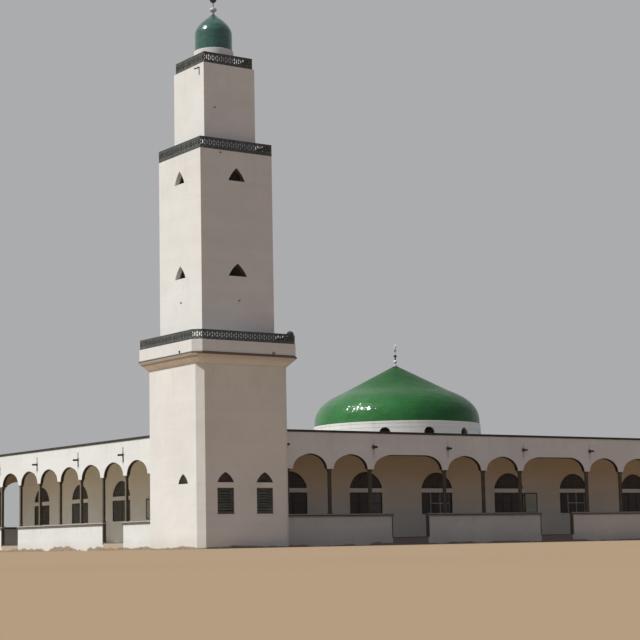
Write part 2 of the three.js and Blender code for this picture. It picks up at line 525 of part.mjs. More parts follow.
const pieces = [
  ['hall_floor', hallFloor, paint(CONCRETE)],
  ['south_gallery', southGalleryWhole, paint(WHITE)],
  ['west_gallery', westGalleryWhole, paint(WHITE)],
  ['north_gallery', northGalleryWhole, paint(WHITE)],
  ['east_gallery', eastGallery, paint(WHITE)],
  ['hall_south_wall', hallSouth, paint(WHITE)],
  ['hall_west_wall', hallWest, paint(WHITE)],
  ['hall_north_wall', hallNorth, paint(WHITE)],
  ['hall_east_wall', hallEast, paint(WHITE)],
  ['south_window_glass', glassSouth, paint(GLASS, 0.1)],
  ['west_window_glass', glassWest, paint(GLASS, 0.1)],
  ['north_window_glass', glassNorth, paint(GLASS, 0.1)],
  ['east_window_glass', glassEast, paint(GLASS, 0.1)],
  ['south_arcade', southArcade, paint(COLUMN)],
  ['west_arcade', westArcade, paint(COLUMN)],
  ['north_arcade', northArcade, paint(COLUMN)],
  ['east_arcade', eastArcade, paint(COLUMN)],
  ['roof_slab', roofSlab, paint(CONCRETE)],
  ['parapet_coping', parapetCoping, paint(GREEN)],
  ['dome_drum', domeDrum, paint(WHITE)],
  ['main_dome', mainDome, paint(DOMEGREEN, 0.25)],
  ['dome_finial', domeFinial, paint(0xc9c4b4, 0.4, 0.3)],
  ['minaret_base', minaretBase, paint(WHITE)],
  ['west_louvre', louvreWest, paint(GREEN, 0.5)],
  ['east_louvre', louvreEast, paint(GREEN, 0.5)],
  ['west_light_plate', lightWest, paint(DARK)],
  ['east_light_plate', lightEast, paint(DARK)],
  ['side_light_plate', lightSide, paint(DARK)],
  ['minaret_cornice', minaretCornice, paint(WHITE)],
  ['cornice_claustra', corniceClaustra, paint(GREEN)],
  ['minaret_shaft', minaretShaft, paint(WHITE)],
  ['shaft_claustra', shaftClaustra, paint(GREEN)],
  ['minaret_lantern', minaretLantern, paint(WHITE)],
  ['lantern_claustra', lanternClaustra, paint(GREEN)],
  ['cupola_drum', cupolaDrum, paint(WHITE)],
  ['cupola', cupola, paint(SMALLGREEN, 0.35)],
  ['cupola_finial', cupolaFinial, paint(0xd8d2c0, 0.4, 0.3)],
];

// the base rests on z = 0, and the plan origin moves to the middle of the building's box
const OX = (-TL + XE + CO) / 2, OY = (-TL + YN + CO) / 2;
const group = new THREE.Group();
group.name = 'mosque_building';
for (const [name, geometry, material] of pieces) {
  const g = closedGeometry(geometry);
  g.scale(MM, MM, MM);
  g.computeVertexNormals();
  const mesh = new THREE.Mesh(g, material);
  mesh.name = name;
  group.add(mesh);
}
group.position.set(-OX * MM, -OY * MM, 0);

export default group;
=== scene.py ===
import math
import random

import bmesh
import bpy
from mathutils import Matrix, Vector
from mathutils.geometry import tessellate_polygon


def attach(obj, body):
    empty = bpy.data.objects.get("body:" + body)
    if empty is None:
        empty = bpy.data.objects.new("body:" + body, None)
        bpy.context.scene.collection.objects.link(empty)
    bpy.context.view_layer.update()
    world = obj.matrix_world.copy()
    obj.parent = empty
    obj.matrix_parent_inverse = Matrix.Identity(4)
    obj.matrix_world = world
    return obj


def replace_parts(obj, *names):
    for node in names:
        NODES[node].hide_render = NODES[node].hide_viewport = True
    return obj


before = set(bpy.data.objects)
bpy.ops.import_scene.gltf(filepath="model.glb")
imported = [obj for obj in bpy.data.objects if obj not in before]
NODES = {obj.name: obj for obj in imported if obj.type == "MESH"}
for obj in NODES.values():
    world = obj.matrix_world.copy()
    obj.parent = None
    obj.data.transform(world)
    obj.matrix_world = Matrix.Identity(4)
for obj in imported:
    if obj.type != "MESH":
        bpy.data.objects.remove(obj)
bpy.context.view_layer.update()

S, OX, OY = 0.5, 21.5225, 14.7725


def W(x, y, z):
    return ((x - OX) * S, (y - OY) * S, z * S)


# ------------------------------------------------------------------ dimensions, as in the CAD source
XW, XE, YS, YN = -0.93, 45.90, -0.99, 32.40
HX0, HX1, HY0, HY1 = 2.87, 42.10, 2.81, 28.60
T_HALL, T_ARC, T_BAL = 0.25, 0.16, 0.16
Z_FLOOR, Z_SPRING, Z_APEX = 0.40, 3.76, 4.463
Z_ROOF0, Z_ROOF1, Z_PARAPET, Z_COPING = 4.95, 5.15, 5.545, 5.652
Z_BAL_S, Z_BAL_W, H_CAP, CAP = 1.575, 1.44, 0.13, 0.05
COL, SPRING = 0.18, 0.44
S_COLS = [5.77, 8.22, 12.93, 15.51, 18.03, 22.80, 25.32, 27.84, 32.61, 35.13, 37.65, 42.42, 44.94]
W_COLS = [5.10, 7.66, 10.20, 12.75, 15.30, 17.85, 20.40, 22.95, 25.50, 28.05, 30.60]
WIDE_BAYS = [(8.22, 12.93), (18.03, 22.80), (27.84, 32.61), (37.65, 42.42)]
SIDE_GAPS = [(7.66, 10.20), (20.40, 22.95)]
GATE = 1.12
S_WIN = [5.90, 10.665, 15.37, 20.44, 25.26, 30.02, 34.83, 39.64]
W_WIN = [5.07, 10.19, 15.31, 20.43, 25.56]
WIN_HALF, WIN_SILL, WIN_BAND0, WIN_BAND1, WIN_APEX = 1.05, 1.60, 2.75, 2.975, 3.83
DOOR_HALF, DOOR_TOP = 0.95, 2.78
DCX, DCY = 22.485, 15.705
R_DRUM, R_DRUM_IN, Z_DRUM = 5.21, 4.95, 7.34
DOME = [(5.175, 7.341), (5.17, 7.60), (5.14, 7.85), (5.07, 8.10), (4.955, 8.33), (4.77, 8.58), (4.42, 8.90),
        (3.94, 9.19), (3.32, 9.47), (2.47, 9.90), (1.64, 10.33), (0.90, 10.71), (0.10, 11.12)]
TB, TL, TC, TC_C, Z_TL, Z_TC0, Z_TC = 2.5, 2.905, 2.865, 0.366, 8.905, 8.985, 9.556
TM, Z_TM = 1.997, 18.77
TU, Z_TU, TG = 1.433, 23.13, 1.36
R_CD, Z_CD = 0.97, 24.139
CUPOLA = [(0.915, Z_CD + 0.001), (0.915, 24.98), (0.895, 25.14), (0.82, 25.32), (0.71, 25.48), (0.51, 25.69),
          (0.29, 25.87), (0.05, 26.08)]
P1, P2, P3, P_SWELL = (-1.115, 0.90, 3.02, 3.50), (1.015, 0.92, 3.02, 3.50), (-0.975, 0.90, 2.99, 3.45), 0.07
L1, L2, LZ0, LZ1 = (-1.115, 0.90), (1.015, 0.90), 1.57, 2.77

SIDES = {
    "south": lambda u, d, z: (u, YS + d, z),
    "north": lambda u, d, z: (u, YN - d, z),
    "west": lambda u, d, z: (XW + d, u, z),
    "east": lambda u, d, z: (XE - d, u, z),
}
HALL = {
    "south": lambda u, d, z: (u, HY0 + d, z),
    "north": lambda u, d, z: (u, HY1 - d, z),
    "west": lambda u, d, z: (HX0 + d, u, z),
    "east": lambda u, d, z: (HX1 - d, u, z),
}


# ------------------------------------------------------------------ materials
class Mat:
    """A procedural material. v is the point in metres of the full-size building."""

    def __init__(self, name, rough=0.8, metal=0.0, spec=0.5):
        self.m = bpy.data.materials.new(name)
        self.m.use_nodes = True
        self.t = self.m.node_tree
        self.t.nodes.clear()
        out = self.t.nodes.new("ShaderNodeOutputMaterial")
        self.b = self.t.nodes.new("ShaderNodeBsdfPrincipled")
        self.t.links.new(self.b.outputs[0], out.inputs[0])
        self.b.inputs["Roughness"].default_value = rough
        self.b.inputs["Metallic"].default_value = metal
        self.b.inputs["Specular IOR Level"].default_value = spec
        co = self.t.nodes.new("ShaderNodeTexCoord").outputs["Object"]
        self.v = self.vm("MULTIPLY_ADD", co, (2, 2, 2), (OX, OY, 0))
        s = self.t.nodes.new("ShaderNodeSeparateXYZ")
        self.t.links.new(self.v, s.inputs[0])
        self.x, self.y, self.z = s.outputs

    def put(self, socket, value):
        if isinstance(value, bpy.types.NodeSocket):
            self.t.links.new(value, socket)
        elif value is not None:
            socket.default_value = value

    def vm(self, op, *args):
        n = self.t.nodes.new("ShaderNodeVectorMath")
        n.operation = op
        for i, a in enumerate(args):
            self.put(n.inputs[i], a)
        return n.outputs[0]

    def f(self, op, *args, clamp=False):
        n = self.t.nodes.new("ShaderNodeMath")
        n.operation = op
        n.use_clamp = clamp
        for i, a in enumerate(args):
            self.put(n.inputs[i], a)
        return n.outputs[0]

    def noise(self, scale, detail=4.0, rough=0.55, stretch=None, distort=0.0):
        n = self.t.nodes.new("ShaderNodeTexNoise")
        self.put(n.inputs["Vector"], self.vm("MULTIPLY", self.v, stretch) if stretch else self.v)
        n.inputs["Scale"].default_value = scale
        n.inputs["Detail"].default_value = detail
        n.inputs["Roughness"].default_value = rough
        n.inputs["Distortion"].default_value = distort
        return n.outputs["Fac"]

    def voronoi(self, scale, feature="F1", stretch=None, out="Distance", rand=1.0):
        n = self.t.nodes.new("ShaderNodeTexVoronoi")
        n.feature = feature
        self.put(n.inputs["Vector"], self.vm("MULTIPLY", self.v, stretch) if stretch else self.v)
        n.inputs["Scale"].default_value = scale
        n.inputs["Randomness"].default_value = rand
        return n.outputs[out]

    def remap(self, value, a, b, c=0.0, d=1.0, smooth=False):
        n = self.t.nodes.new("ShaderNodeMapRange")
        n.interpolation_type = "SMOOTHSTEP" if smooth else "LINEAR"
        self.put(n.inputs[0], value)
        for i, x in enumerate((a, b, c, d)):
            n.inputs[i + 1].default_value = x
        return n.outputs[0]

    def mix(self, fac, a, b, blend="MIX"):
        n = self.t.nodes.new("ShaderNodeMix")
        n.data_type = "RGBA"
        n.blend_type = blend
        self.put(n.inputs[0], fac)
        for i, c in ((6, a), (7, b)):
            self.put(n.inputs[i], (*c, 1.0) if isinstance(c, tuple) and len(c) == 3 else c)
        return n.outputs[2]

    def bump(self, height, strength, distance):
        n = self.t.nodes.new("ShaderNodeBump")
        n.inputs["Strength"].default_value = strength
        n.inputs["Distance"].default_value = distance
        self.put(n.inputs["Height"], height)
        self.put(n.inputs["Normal"], getattr(self, "_n", None))
        self._n = n.outputs[0]
        self.put(self.b.inputs["Normal"], self._n)

    def color(self, c):
        self.put(self.b.inputs["Base Color"], (*c, 1.0) if isinstance(c, tuple) and len(c) == 3 else c)
        return self

    def rough(self, r):
        self.put(self.b.inputs["Roughness"], r)
        return self


def lin(r, g, b):
    """An sRGB colour, 0 to 255, as linear light."""
    f = lambda c: c / 12.92 if c <= 0.04045 else ((c + 0.055) / 1.055) ** 2.4
    return tuple(f(x / 255) for x in (r, g, b))


def render_paint(name, base, shade, streak_from=(), splash=True, streak=0.5, spouts=None, grain=1.0, extra=None, cake=(0.16, 0.9)):
    """Masonry paint on hand-floated cement render. streak_from: heights under which rain has left streaks."""
    m = Mat(name, rough=0.86, spec=0.3)
    big = m.noise(0.33, 3, 0.5)
    mid = m.noise(1.7, 6, 0.62, distort=0.3)
    fine = m.noise(9.0, 5, 0.6)
    c = m.mix(m.remap(big, 0.35, 0.65), base, shade)
    c = m.mix(m.remap(mid, 0.48, 0.75, 0, 0.45), c, tuple(x * 0.86 for x in base))
    c = m.mix(m.remap(fine, 0.55, 0.8, 0, 0.25), c, tuple(x * y for x, y in zip(base, (0.82, 0.78, 0.72))))
    # roller laps: faint level bands
    laps = m.noise(1.0, 2, 0.5, stretch=(0.15, 0.15, 2.6))
    c = m.mix(m.remap(laps, 0.52, 0.62, 0, 0.22), c, tuple(min(1, x * 1.05) for x in base))
    # rain streaks below ledges and copings
    run = m.noise(1.0, 5, 0.65, stretch=(2.3, 2.3, 0.20), distort=0.4)
    thin = m.noise(1.0, 4, 0.6, stretch=(11, 11, 0.3))
    for top, depth in streak_from:
        below = m.f("MULTIPLY", m.remap(m.z, top - depth, top, 0, 1), m.remap(m.z, top + 0.02, top + 0.03, 1, 0))
        s = m.f("MULTIPLY", m.remap(run, 0.5, 0.72), below, clamp=True)
        c = m.mix(m.f("MULTIPLY", s, streak), c, (0.34, 0.30, 0.25))
        s2 = m.f("MULTIPLY", m.f("MULTIPLY", m.remap(thin, 0.60, 0.78), m.remap(big, 0.45, 0.6)), below, clamp=True)
        c = m.mix(m.f("MULTIPLY", s2, streak * 0.7), c, (0.20, 0.18, 0.15))
    if spouts:
        # each rain spout: a dark ring round its root, a thin line up to the roof joint, a stain below, and a narrow
        # dark streak below that is partly stain and partly painted shadow of the pipe, strongest on the sunny west face
        axis, marks, z1, broad, force = spouts
        along = m.x if axis == "x" else m.y
        wob = m.f("MULTIPLY", m.f("SUBTRACT", m.noise(1.6, 2, 0.5), 0.5), 0.07)
        near = None
        for at in marks:
            off = m.f("ABSOLUTE", m.f("SUBTRACT", along, at))
            near = off if near is None else m.f("MINIMUM", near, off)
        wide = m.remap(m.f("ADD", near, wob), 0.03, 0.15, 1, 0, smooth=True)
        fall = m.f("MULTIPLY", m.remap(m.z, z1 - 0.75, z1, 0, 1), m.remap(m.z, z1, z1 + 0.02, 1, 0))
        patch = m.f("MULTIPLY", m.f("MULTIPLY", wide, fall), m.remap(thin, 0.3, 0.7, 0.35, 1.0), clamp=True)
        c = m.mix(m.f("MULTIPLY", patch, 0.42), c, (0.13, 0.11, 0.09))
        # painted shadow of the pipe, with stain: a narrow dark streak falling from the root
        stain_and_pipe_shadow = m.f("MULTIPLY", m.remap(m.f("ADD", near, m.f("MULTIPLY", wob, 0.5)), 0.3 * broad, broad, 1, 0, smooth=True),
                   m.f("MULTIPLY", m.remap(m.z, z1 - 0.50, z1 - 0.30, 0, 1, smooth=True), m.remap(m.z, z1, z1 + 0.02, 1, 0)))
        c = m.mix(m.f("MULTIPLY", stain_and_pipe_shadow, 0.90 * force), c, (0.075, 0.068, 0.060))
        dz = m.f("SUBTRACT", m.z, z1)
        ring = m.f("SQRT", m.f("ADD", m.f("MULTIPLY", near, near), m.f("MULTIPLY", dz, dz)))
        c = m.mix(m.remap(m.f("ADD", ring, wob), 0.06, 0.17, 0.85, 0, smooth=True), c, (0.10, 0.085, 0.07))
        line = m.f("MULTIPLY", m.remap(near, 0.4 * broad, 0.7 * broad, 1, 0),
                   m.f("MULTIPLY", m.remap(dz, 0.0, 0.05, 0, 1), m.remap(dz, 0.38, 0.42, 1, 0)))
        c = m.mix(m.f("MULTIPLY", line, 0.88 * force), c, (0.11, 0.10, 0.085))
    if extra:
        c = extra(m, c)
    if splash:
        # dust splashed up at the foot by rain
        edge = m.f("ADD", m.z, m.f("MULTIPLY", m.f("SUBTRACT", m.noise(0.55, 6, 0.62), 0.5), 0.9))
        c = m.mix(m.remap(edge, 0.70, 0.10, 0, 0.20, smooth=True), c, (0.42, 0.34, 0.26))
        low = m.f("ADD", m.z, m.f("MULTIPLY", m.f("SUBTRACT", m.noise(0.55, 6, 0.62), 0.5), cake[1]))
        c = m.mix(m.remap(low, cake[0], cake[0] - 0.06, 0, 0.92, smooth=True), c, m.mix(m.remap(fine, 0.4, 0.6), (0.33, 0.25, 0.165), (0.22, 0.16, 0.11)))
    # hairline cracks, only here and there
    d = m.voronoi(0.55, "DISTANCE_TO_EDGE", rand=1.0)
    crack = m.f("MULTIPLY", m.remap(d, 0.0, 0.004, 1, 0), m.remap(m.noise(0.5, 2, 0.5), 0.64, 0.76), clamp=True)
    c = m.mix(m.f("MULTIPLY", crack, 0.16), c, (0.16, 0.14, 0.12))
    m.color(c)
    m.rough(m.remap(mid, 0.3, 0.7, 0.78, 0.93))
    m.bump(m.noise(2.2, 3, 0.5), 0.35 * grain, 0.012)
    m.bump(m.noise(42, 5, 0.65), 0.30 * grain, 0.0022)
    m.bump(crack, 0.5, -0.001)
    return m.m


WHITE = (0.712, 0.708, 0.685)
WHITE2 = (0.660, 0.652, 0.625)
SPOUT_S = [3.20, 8.44, 13.17, 18.29, 23.06, 27.90, 32.75, 37.60, 42.45]
SPOUT_W = [7.89, 13.01, 18.12, 23.20, 28.35]
M_S = render_paint("paint_front", WHITE, WHITE2, [(5.54, 1.1)], spouts=("x", SPOUT_S, 4.87, 0.05, 0.30), streak=0.2)
# painted sunlight: the west arcade's copy of the white paint is lighter and cooler than the others
M_W = render_paint("paint_side_sunlit", (0.735, 0.752, 0.742), (0.69, 0.703, 0.69), [(5.54, 1.1)], spouts=("y", SPOUT_W, 4.83, 0.095, 1.0), streak=0.2)
GREYER = tuple(x * k for x, k in zip(WHITE, (0.915, 0.868, 0.775)))


def between(m, along, spans):
    """1 where along lies inside one of the spans, all of one width."""
    half = (spans[0][1] - spans[0][0]) / 2
    near = None
    for lo, hi in spans:
        off = m.f("ABSOLUTE", m.f("SUBTRACT", along, (lo + hi) / 2))
        near = off if near is None else m.f("MINIMUM", near, off)
    return m.remap(near, half - 0.004, half + 0.004, 1, 0)


FRONT_GATES = [((a + b) / 2 + 0.06 - GATE, (a + b) / 2 + 0.06 + GATE) for a, b in WIDE_BAYS]
GATES_SIDE = [(a + COL / 2 + 0.15, b - COL / 2) for a, b in SIDE_GAPS]


def cap_paint(m, c):
    """A dark band on the balustrade's coping under a worn lip, a strip of painted shadow under the coping, the bare
    floor, and the bare steps in the ways through, painted darker in the front ways as shade.
    """
    ns = m.f("MAXIMUM", m.remap(m.y, YS + 0.20, YS + 0.21, 1, 0), m.remap(m.y, YN - 0.21, YN - 0.20, 0, 1))
    top = m.f("MULTIPLY_ADD", ns, Z_BAL_S - Z_BAL_W, Z_BAL_W)
    dz = m.f("ADD", m.f("SUBTRACT", m.z, top), m.f("MULTIPLY", m.f("SUBTRACT", m.noise(2.5, 3, 0.5), 0.5), 0.014))
    we = m.f("SUBTRACT", 1.0, ns)
    band = m.f("MULTIPLY", m.remap(dz, -0.118, -0.108, 0, 1), m.remap(dz, -0.060, -0.054, 1, 0))
    # painted shadow of the coping's overhang: a grey strip under the dark band, stronger on the west and east runs
    painted_coping_shadow = m.f("MULTIPLY", m.remap(dz, -0.140, -0.136, 0, 1), m.remap(dz, -0.112, -0.108, 1, 0))
    c = m.mix(m.f("MULTIPLY", painted_coping_shadow, m.f("MULTIPLY_ADD", we, 0.55, 0.3)), c, (0.24, 0.215, 0.205))
    # the worn pale lip; it is lighter on the west and east runs than on the front ones, as painted light
    lip = m.remap(dz, -0.056, -0.052, 0, 0.85)
    c = m.mix(lip, c, m.mix(we, (0.22, 0.20, 0.19), (0.34, 0.315, 0.285)))
    c = m.mix(m.f("MULTIPLY", band, 0.95), c, (0.030, 0.025, 0.024))
    # trodden cement on the floor
    level = m.remap(m.f("ABSOLUTE", m.f("SUBTRACT", m.z, Z_FLOOR)), 0.004, 0.008, 1, 0)
    out_y = m.f("MAXIMUM", m.remap(m.y, YS + 0.02, YS + 0.03, 1, 0), m.remap(m.y, YN - 0.03, YN - 0.02, 0, 1))
    out_x = m.f("MAXIMUM", m.remap(m.x, XW + 0.02, XW + 0.03, 1, 0), m.remap(m.x, XE - 0.03, XE - 0.02, 0, 1))
    level = m.f("MULTIPLY", level, m.f("SUBTRACT", 1.0, m.f("MAXIMUM", out_x, out_y)))
    c = m.mix(m.f("MULTIPLY", level, 0.92), c, m.mix(m.remap(m.noise(1.4, 5, 0.6), 0.4, 0.65), (0.58, 0.54, 0.465), (0.49, 0.455, 0.39)))
    # bare steps below the ways through, with a dark nosing; the steps of the front ways are painted darker than those
    # of the side ways, as painted shade
    low = m.remap(m.z, Z_FLOOR - 0.004, Z_FLOOR + 0.002, 1, 0)
    nose = m.f("MULTIPLY", m.remap(m.z, Z_FLOOR - 0.050, Z_FLOOR - 0.042, 0, 1), low)
    fy = m.f("MULTIPLY", between(m, m.x, FRONT_GATES), out_y)
    fx = m.f("MULTIPLY", between(m, m.y, GATES_SIDE), out_x)
    c = m.mix(m.f("MULTIPLY", m.f("MULTIPLY", fy, low), 0.95), c, (0.20, 0.150, 0.125))
    c = m.mix(m.f("MULTIPLY", m.f("MULTIPLY", fx, low), 0.90), c, (0.40, 0.32, 0.235))
    both = m.f("MAXIMUM", fx, fy)
    return m.mix(m.f("MULTIPLY", m.f("MULTIPLY", both, nose), 0.9), c, (0.070, 0.050, 0.040))


M_WALL = render_paint("paint_wall", (0.708, 0.726, 0.712), (0.662, 0.678, 0.662), [(1.31, 0.5)], streak=0.25, extra=cap_paint)
M_WALL_S = render_paint("paint_wall_south", GREYER, tuple(x * 0.9 for x in GREYER), [(1.44, 0.6)], streak=0.3, extra=cap_paint, cake=(0.10, 0.5))


def tower_paint(m, c):
    """Painted warm shade: the sides turned away from the sun are tinted warmer, more so higher up, to the cornice."""
    shade = m.remap(m.f("ADD", m.x, m.f("ABSOLUTE", m.y)), -0.02, 0.06, 0, 1)
    dust = m.f("MULTIPLY", shade, m.remap(m.z, 1.0, 5.0, 0.35, 1.0, smooth=True))
    return m.mix(dust, c, (1.03, 1.0, 0.93), "MULTIPLY")


M_TOWER = render_paint("paint_tower", WHITE, WHITE2, [(8.49, 2.2), (2.99, 0.5)], streak=0.2, extra=tower_paint, cake=(0.10, 0.5))


def shaft_paint(m, c):
    """The reveals of the pointed lights in the south face are darkened: painted shade."""
    deep = m.f("MULTIPLY", m.remap(m.y, -TM + 0.004, -TM + 0.012, 0, 1), m.remap(m.y, -TM + 0.50, -TM + 0.51, 1, 0))
    near = m.remap(m.f("ABSOLUTE", m.x), 0.62, 0.64, 1, 0)
    return m.mix(m.f("MULTIPLY", m.f("MULTIPLY", deep, near), 0.9), c, (0.115, 0.085, 0.085))


M_SHAFT = render_paint("paint_shaft", WHITE, WHITE2, [(18.77, 2.4), (12.76, 1.2), (17.35, 0.9)], splash=False, streak=0.15, extra=shaft_paint)
M_LANT = render_paint("paint_lantern", WHITE, WHITE2, [(23.13, 2.0)], splash=False, streak=0.18)
M_DRUM = render_paint("paint_drum", WHITE, WHITE2, [(7.30, 0.8)], splash=False, streak=0.25)


def ledge_paint(m, c):
    """The cornice: a dark painted line round its widest edge, reaching lower as painted shade on the shaded sides; a
    second thin line below it on the sunny side, which is painted shadow of the ledge; and on the flare, painted shade
    on the shaded sides and a tan painted bounce light on the sunny side."""
    lean = m.f("ADD", m.x, m.f("ABSOLUTE", m.y))
    sunny = m.remap(lean, -0.02, 0.06, 1, 0)
    wob = m.f("MULTIPLY", m.f("SUBTRACT", m.noise(0.9, 3, 0.5), 0.5), 0.03)
    z = m.f("ADD", m.z, wob)
    shade = m.f("SUBTRACT", 1.0, sunny)
    # the flare: painted shade, browner right under the ledge on the shaded sides; tan on the sunny side, painted light
    # thrown up from the ground
    flare = m.remap(m.z, 8.868, 8.862, 0, 1)
    c = m.mix(m.f("MULTIPLY", m.f("MULTIPLY", flare, shade), m.remap(z, 8.60, 8.90, 0.0, 0.45, smooth=True)), c, (0.36, 0.29, 0.235))
    tan = m.mix(m.remap(m.noise(1.0, 4, 0.6, stretch=(2.2, 2.2, 0.6)), 0.4, 0.65), (0.84, 0.775, 0.70), (0.72, 0.665, 0.59))
    c = m.mix(m.f("MULTIPLY", m.f("MULTIPLY", flare, sunny), 0.9), c, tan)
    # painted shade: greyer towards the foot of the flare on the sunny side
    low = m.f("MULTIPLY", m.remap(z, 8.62, 8.50, 0, 0.35, smooth=True), flare)
    c = m.mix(m.f("MULTIPLY", low, sunny), c, (0.40, 0.39, 0.33))
    # dark painted line on the ledge's edge, reaching lower as painted shade on the shaded sides; on the sunny side a
    # pale strip and under it a second line, painted shadow of the ledge; the line is darker on the sunny side than on
    # the shaded sides, as painted light
    band = m.f("MULTIPLY", m.remap(m.z, 8.868, 8.884, 0, 1), m.remap(m.z, 9.000, 9.010, 1, 0))
    thin = m.f("MULTIPLY", m.remap(m.z, 8.908, 8.918, 0, 1), m.remap(m.z, 9.000, 9.010, 1, 0))
    painted_shadow_line = m.f("MULTIPLY", m.remap(m.z, 8.740, 8.755, 0, 1), m.remap(m.z, 8.815, 8.830, 1, 0))
    edge = m.f("ADD", m.f("MULTIPLY", band, shade), m.f("MULTIPLY", m.f("MAXIMUM", thin, m.f("MULTIPLY", painted_shadow_line, 0.55)), sunny), clamp=True)
    return m.mix(m.f("MULTIPLY", edge, 0.93), c, m.mix(sunny, (0.115, 0.078, 0.055), (0.085, 0.065, 0.050)))


M_CORN = render_paint("paint_cornice", WHITE, WHITE2, [(9.5, 0.6)], splash=False, streak=0.12, extra=ledge_paint)
CREAM = (0.80, 0.715, 0.585)


def hall_paint(m, c):
    """The hall wall's cream is browner under the gallery roof, as painted warm shade, and paler and greyer low down, as
    painted light.
    """
    h = m.f("ADD", m.z, m.f("MULTIPLY", m.f("SUBTRACT", m.noise(0.7, 4, 0.6), 0.5), 1.2))
    c = m.mix(m.remap(h, 2.7, 4.2, 0, 0.75, smooth=True), c, (0.67, 0.555, 0.43))
    return m.mix(m.remap(h, 2.6, 1.2, 0, 0.85, smooth=True), c, (0.88, 0.815, 0.655))


M_HALL = render_paint("paint_hall", CREAM, tuple(x * 0.93 for x in CREAM), [(1.60, 0.6)], splash=False, streak=0.2, extra=hall_paint)
# painted light: the west hall wall's cream and its window bands are lighter copies of the others, for the brighter west
# gallery
M_HALL_W = render_paint("paint_hall_side_lit", (0.94, 0.915, 0.82), (0.90, 0.87, 0.77), [(1.60, 0.6)], splash=False, streak=0.2)
M_BAND_W = render_paint("paint_band_side_lit", (0.97, 0.955, 0.91), (0.92, 0.90, 0.85), [], splash=False)
M_BAND = render_paint("paint_band", (0.86, 0.84, 0.80), (0.80, 0.78, 0.74), [], splash=False)


def gloss_paint(name, base, worn, rough=0.3, coat=0.0, wear=0.3, bumpy=0.2, spec=0.5, scale=1.0, dust=0.25):
    """Oil paint brushed on metal, timber or plaster, with worn and dusty places."""
    m = Mat(name, rough=rough, spec=spec)
    a = m.noise(1.1 * scale, 5, 0.6)
    b = m.noise(14 * scale, 6, 0.65)
    c = m.mix(m.remap(a, 0.35, 0.65), base, tuple(x * 0.8 for x in base))
    c = m.mix(m.remap(b, 0.58, 0.74, 0, wear), c, worn)
    c = m.mix(m.remap(m.noise(3.1 * scale, 5, 0.6), 0.45, 0.75, 0, dust), c, (0.34, 0.29, 0.22))
    m.color(c)
    m.rough(m.remap(b, 0.3, 0.7, rough * 0.8, min(1.0, rough * 1.5)))
    if coat:
        m.b.inputs["Coat Weight"].default_value = coat
        m.b.inputs["Coat Roughness"].default_value = 0.12
    m.bump(m.noise(30 * scale, 4, 0.6), bumpy, 0.002)
    return m.m


def column_paint():
    """Brown oil paint; the faces turned west are given a lighter olive colour, as painted sunlight."""
    m = Mat("paint_column", rough=0.5, spec=0.4)
    geo = m.t.nodes.new("ShaderNodeNewGeometry")
    sp = m.t.nodes.new("ShaderNodeSeparateXYZ")
    m.t.links.new(geo.outputs["Normal"], sp.inputs[0])
    west = m.remap(sp.outputs[0], -0.8, -0.6, 1, 0)
    a = m.noise(1.1, 5, 0.6)
    b = m.noise(14, 6, 0.65)
    c = m.mix(west, (0.062, 0.047, 0.034), (0.150, 0.138, 0.100))
    c = m.mix(m.remap(a, 0.35, 0.65, 0, 0.3), c, (0.045, 0.034, 0.024))
    c = m.mix(m.remap(b, 0.58, 0.74, 0, 0.35), c, (0.17, 0.145, 0.11))
    c = m.mix(m.remap(m.noise(3.1, 5, 0.6), 0.45, 0.75, 0, 0.15), c, (0.34, 0.29, 0.22))
    m.color(c)
    m.rough(m.remap(b, 0.3, 0.7, 0.42, 0.75))
    m.bump(m.noise(30, 4, 0.6), 0.2, 0.002)
    return m.m


M_COL = column_paint()
M_SOFFIT = gloss_paint("paint_arch_reveal", (0.030, 0.020, 0.015), (0.07, 0.055, 0.04), rough=0.6, wear=0.25, dust=0.06)
M_COPING = gloss_paint("paint_coping", (0.020, 0.026, 0.022), (0.06, 0.06, 0.05), rough=0.55, wear=0.35, dust=0.08)
M_CLAUSTRA = gloss_paint("paint_claustra", (0.074, 0.084, 0.080), (0.15, 0.145, 0.125), rough=0.62, wear=0.4, dust=0.2)
M_EDGE = gloss_paint("paint_balustrade_edge", (0.030, 0.025, 0.024), (0.08, 0.07, 0.06), rough=0.55, wear=0.35, dust=0.10)
M_FRAME = gloss_paint("window_frame_brown", (0.036, 0.023, 0.016), (0.09, 0.07, 0.05), rough=0.45, wear=0.35, dust=0.15)
M_MUNTIN = gloss_paint("window_bar_grey", (0.56, 0.56, 0.52), (0.30, 0.29, 0.25), rough=0.4, wear=0.3, dust=0.15)
# painted shade: the plates in the base's pointed lights are coloured as the dark inside seen through the lights, the
# west one darker against its sunlit face
M_PLATE = gloss_paint("light_plate_dark", (0.046, 0.030, 0.029), (0.11, 0.08, 0.065), rough=0.6, wear=0.3, dust=0.15)
M_PLATE_W = gloss_paint("light_plate_olive", (0.026, 0.025, 0.019), (0.055, 0.05, 0.04), rough=0.6, wear=0.3, dust=0.15)
M_LOUVRE = gloss_paint("louvre_green", (0.098, 0.104, 0.080), (0.12, 0.11, 0.08), rough=0.5, wear=0.4, dust=0.35)
M_DARK = gloss_paint("iron_dark", (0.028, 0.024, 0.021), (0.12, 0.06, 0.03), rough=0.6, wear=0.5, dust=0.2)
M_BALL = gloss_paint("finial_white", (0.56, 0.58, 0.68), (0.32, 0.31, 0.31), rough=0.3, wear=0.35, dust=0.15)
M_CRESCENT = gloss_paint("finial_bright", (0.84, 0.84, 0.86), (0.60, 0.58, 0.54), rough=0.3, wear=0.2, dust=0.05)
M_STEM = gloss_paint("finial_stem", (0.42, 0.37, 0.37), (0.28, 0.23, 0.20), rough=0.4, wear=0.35, dust=0.15)
M_BALL2 = gloss_paint("finial_dark", (0.038, 0.038, 0.062), (0.12, 0.11, 0.11), rough=0.3, wear=0.35, dust=0.10)


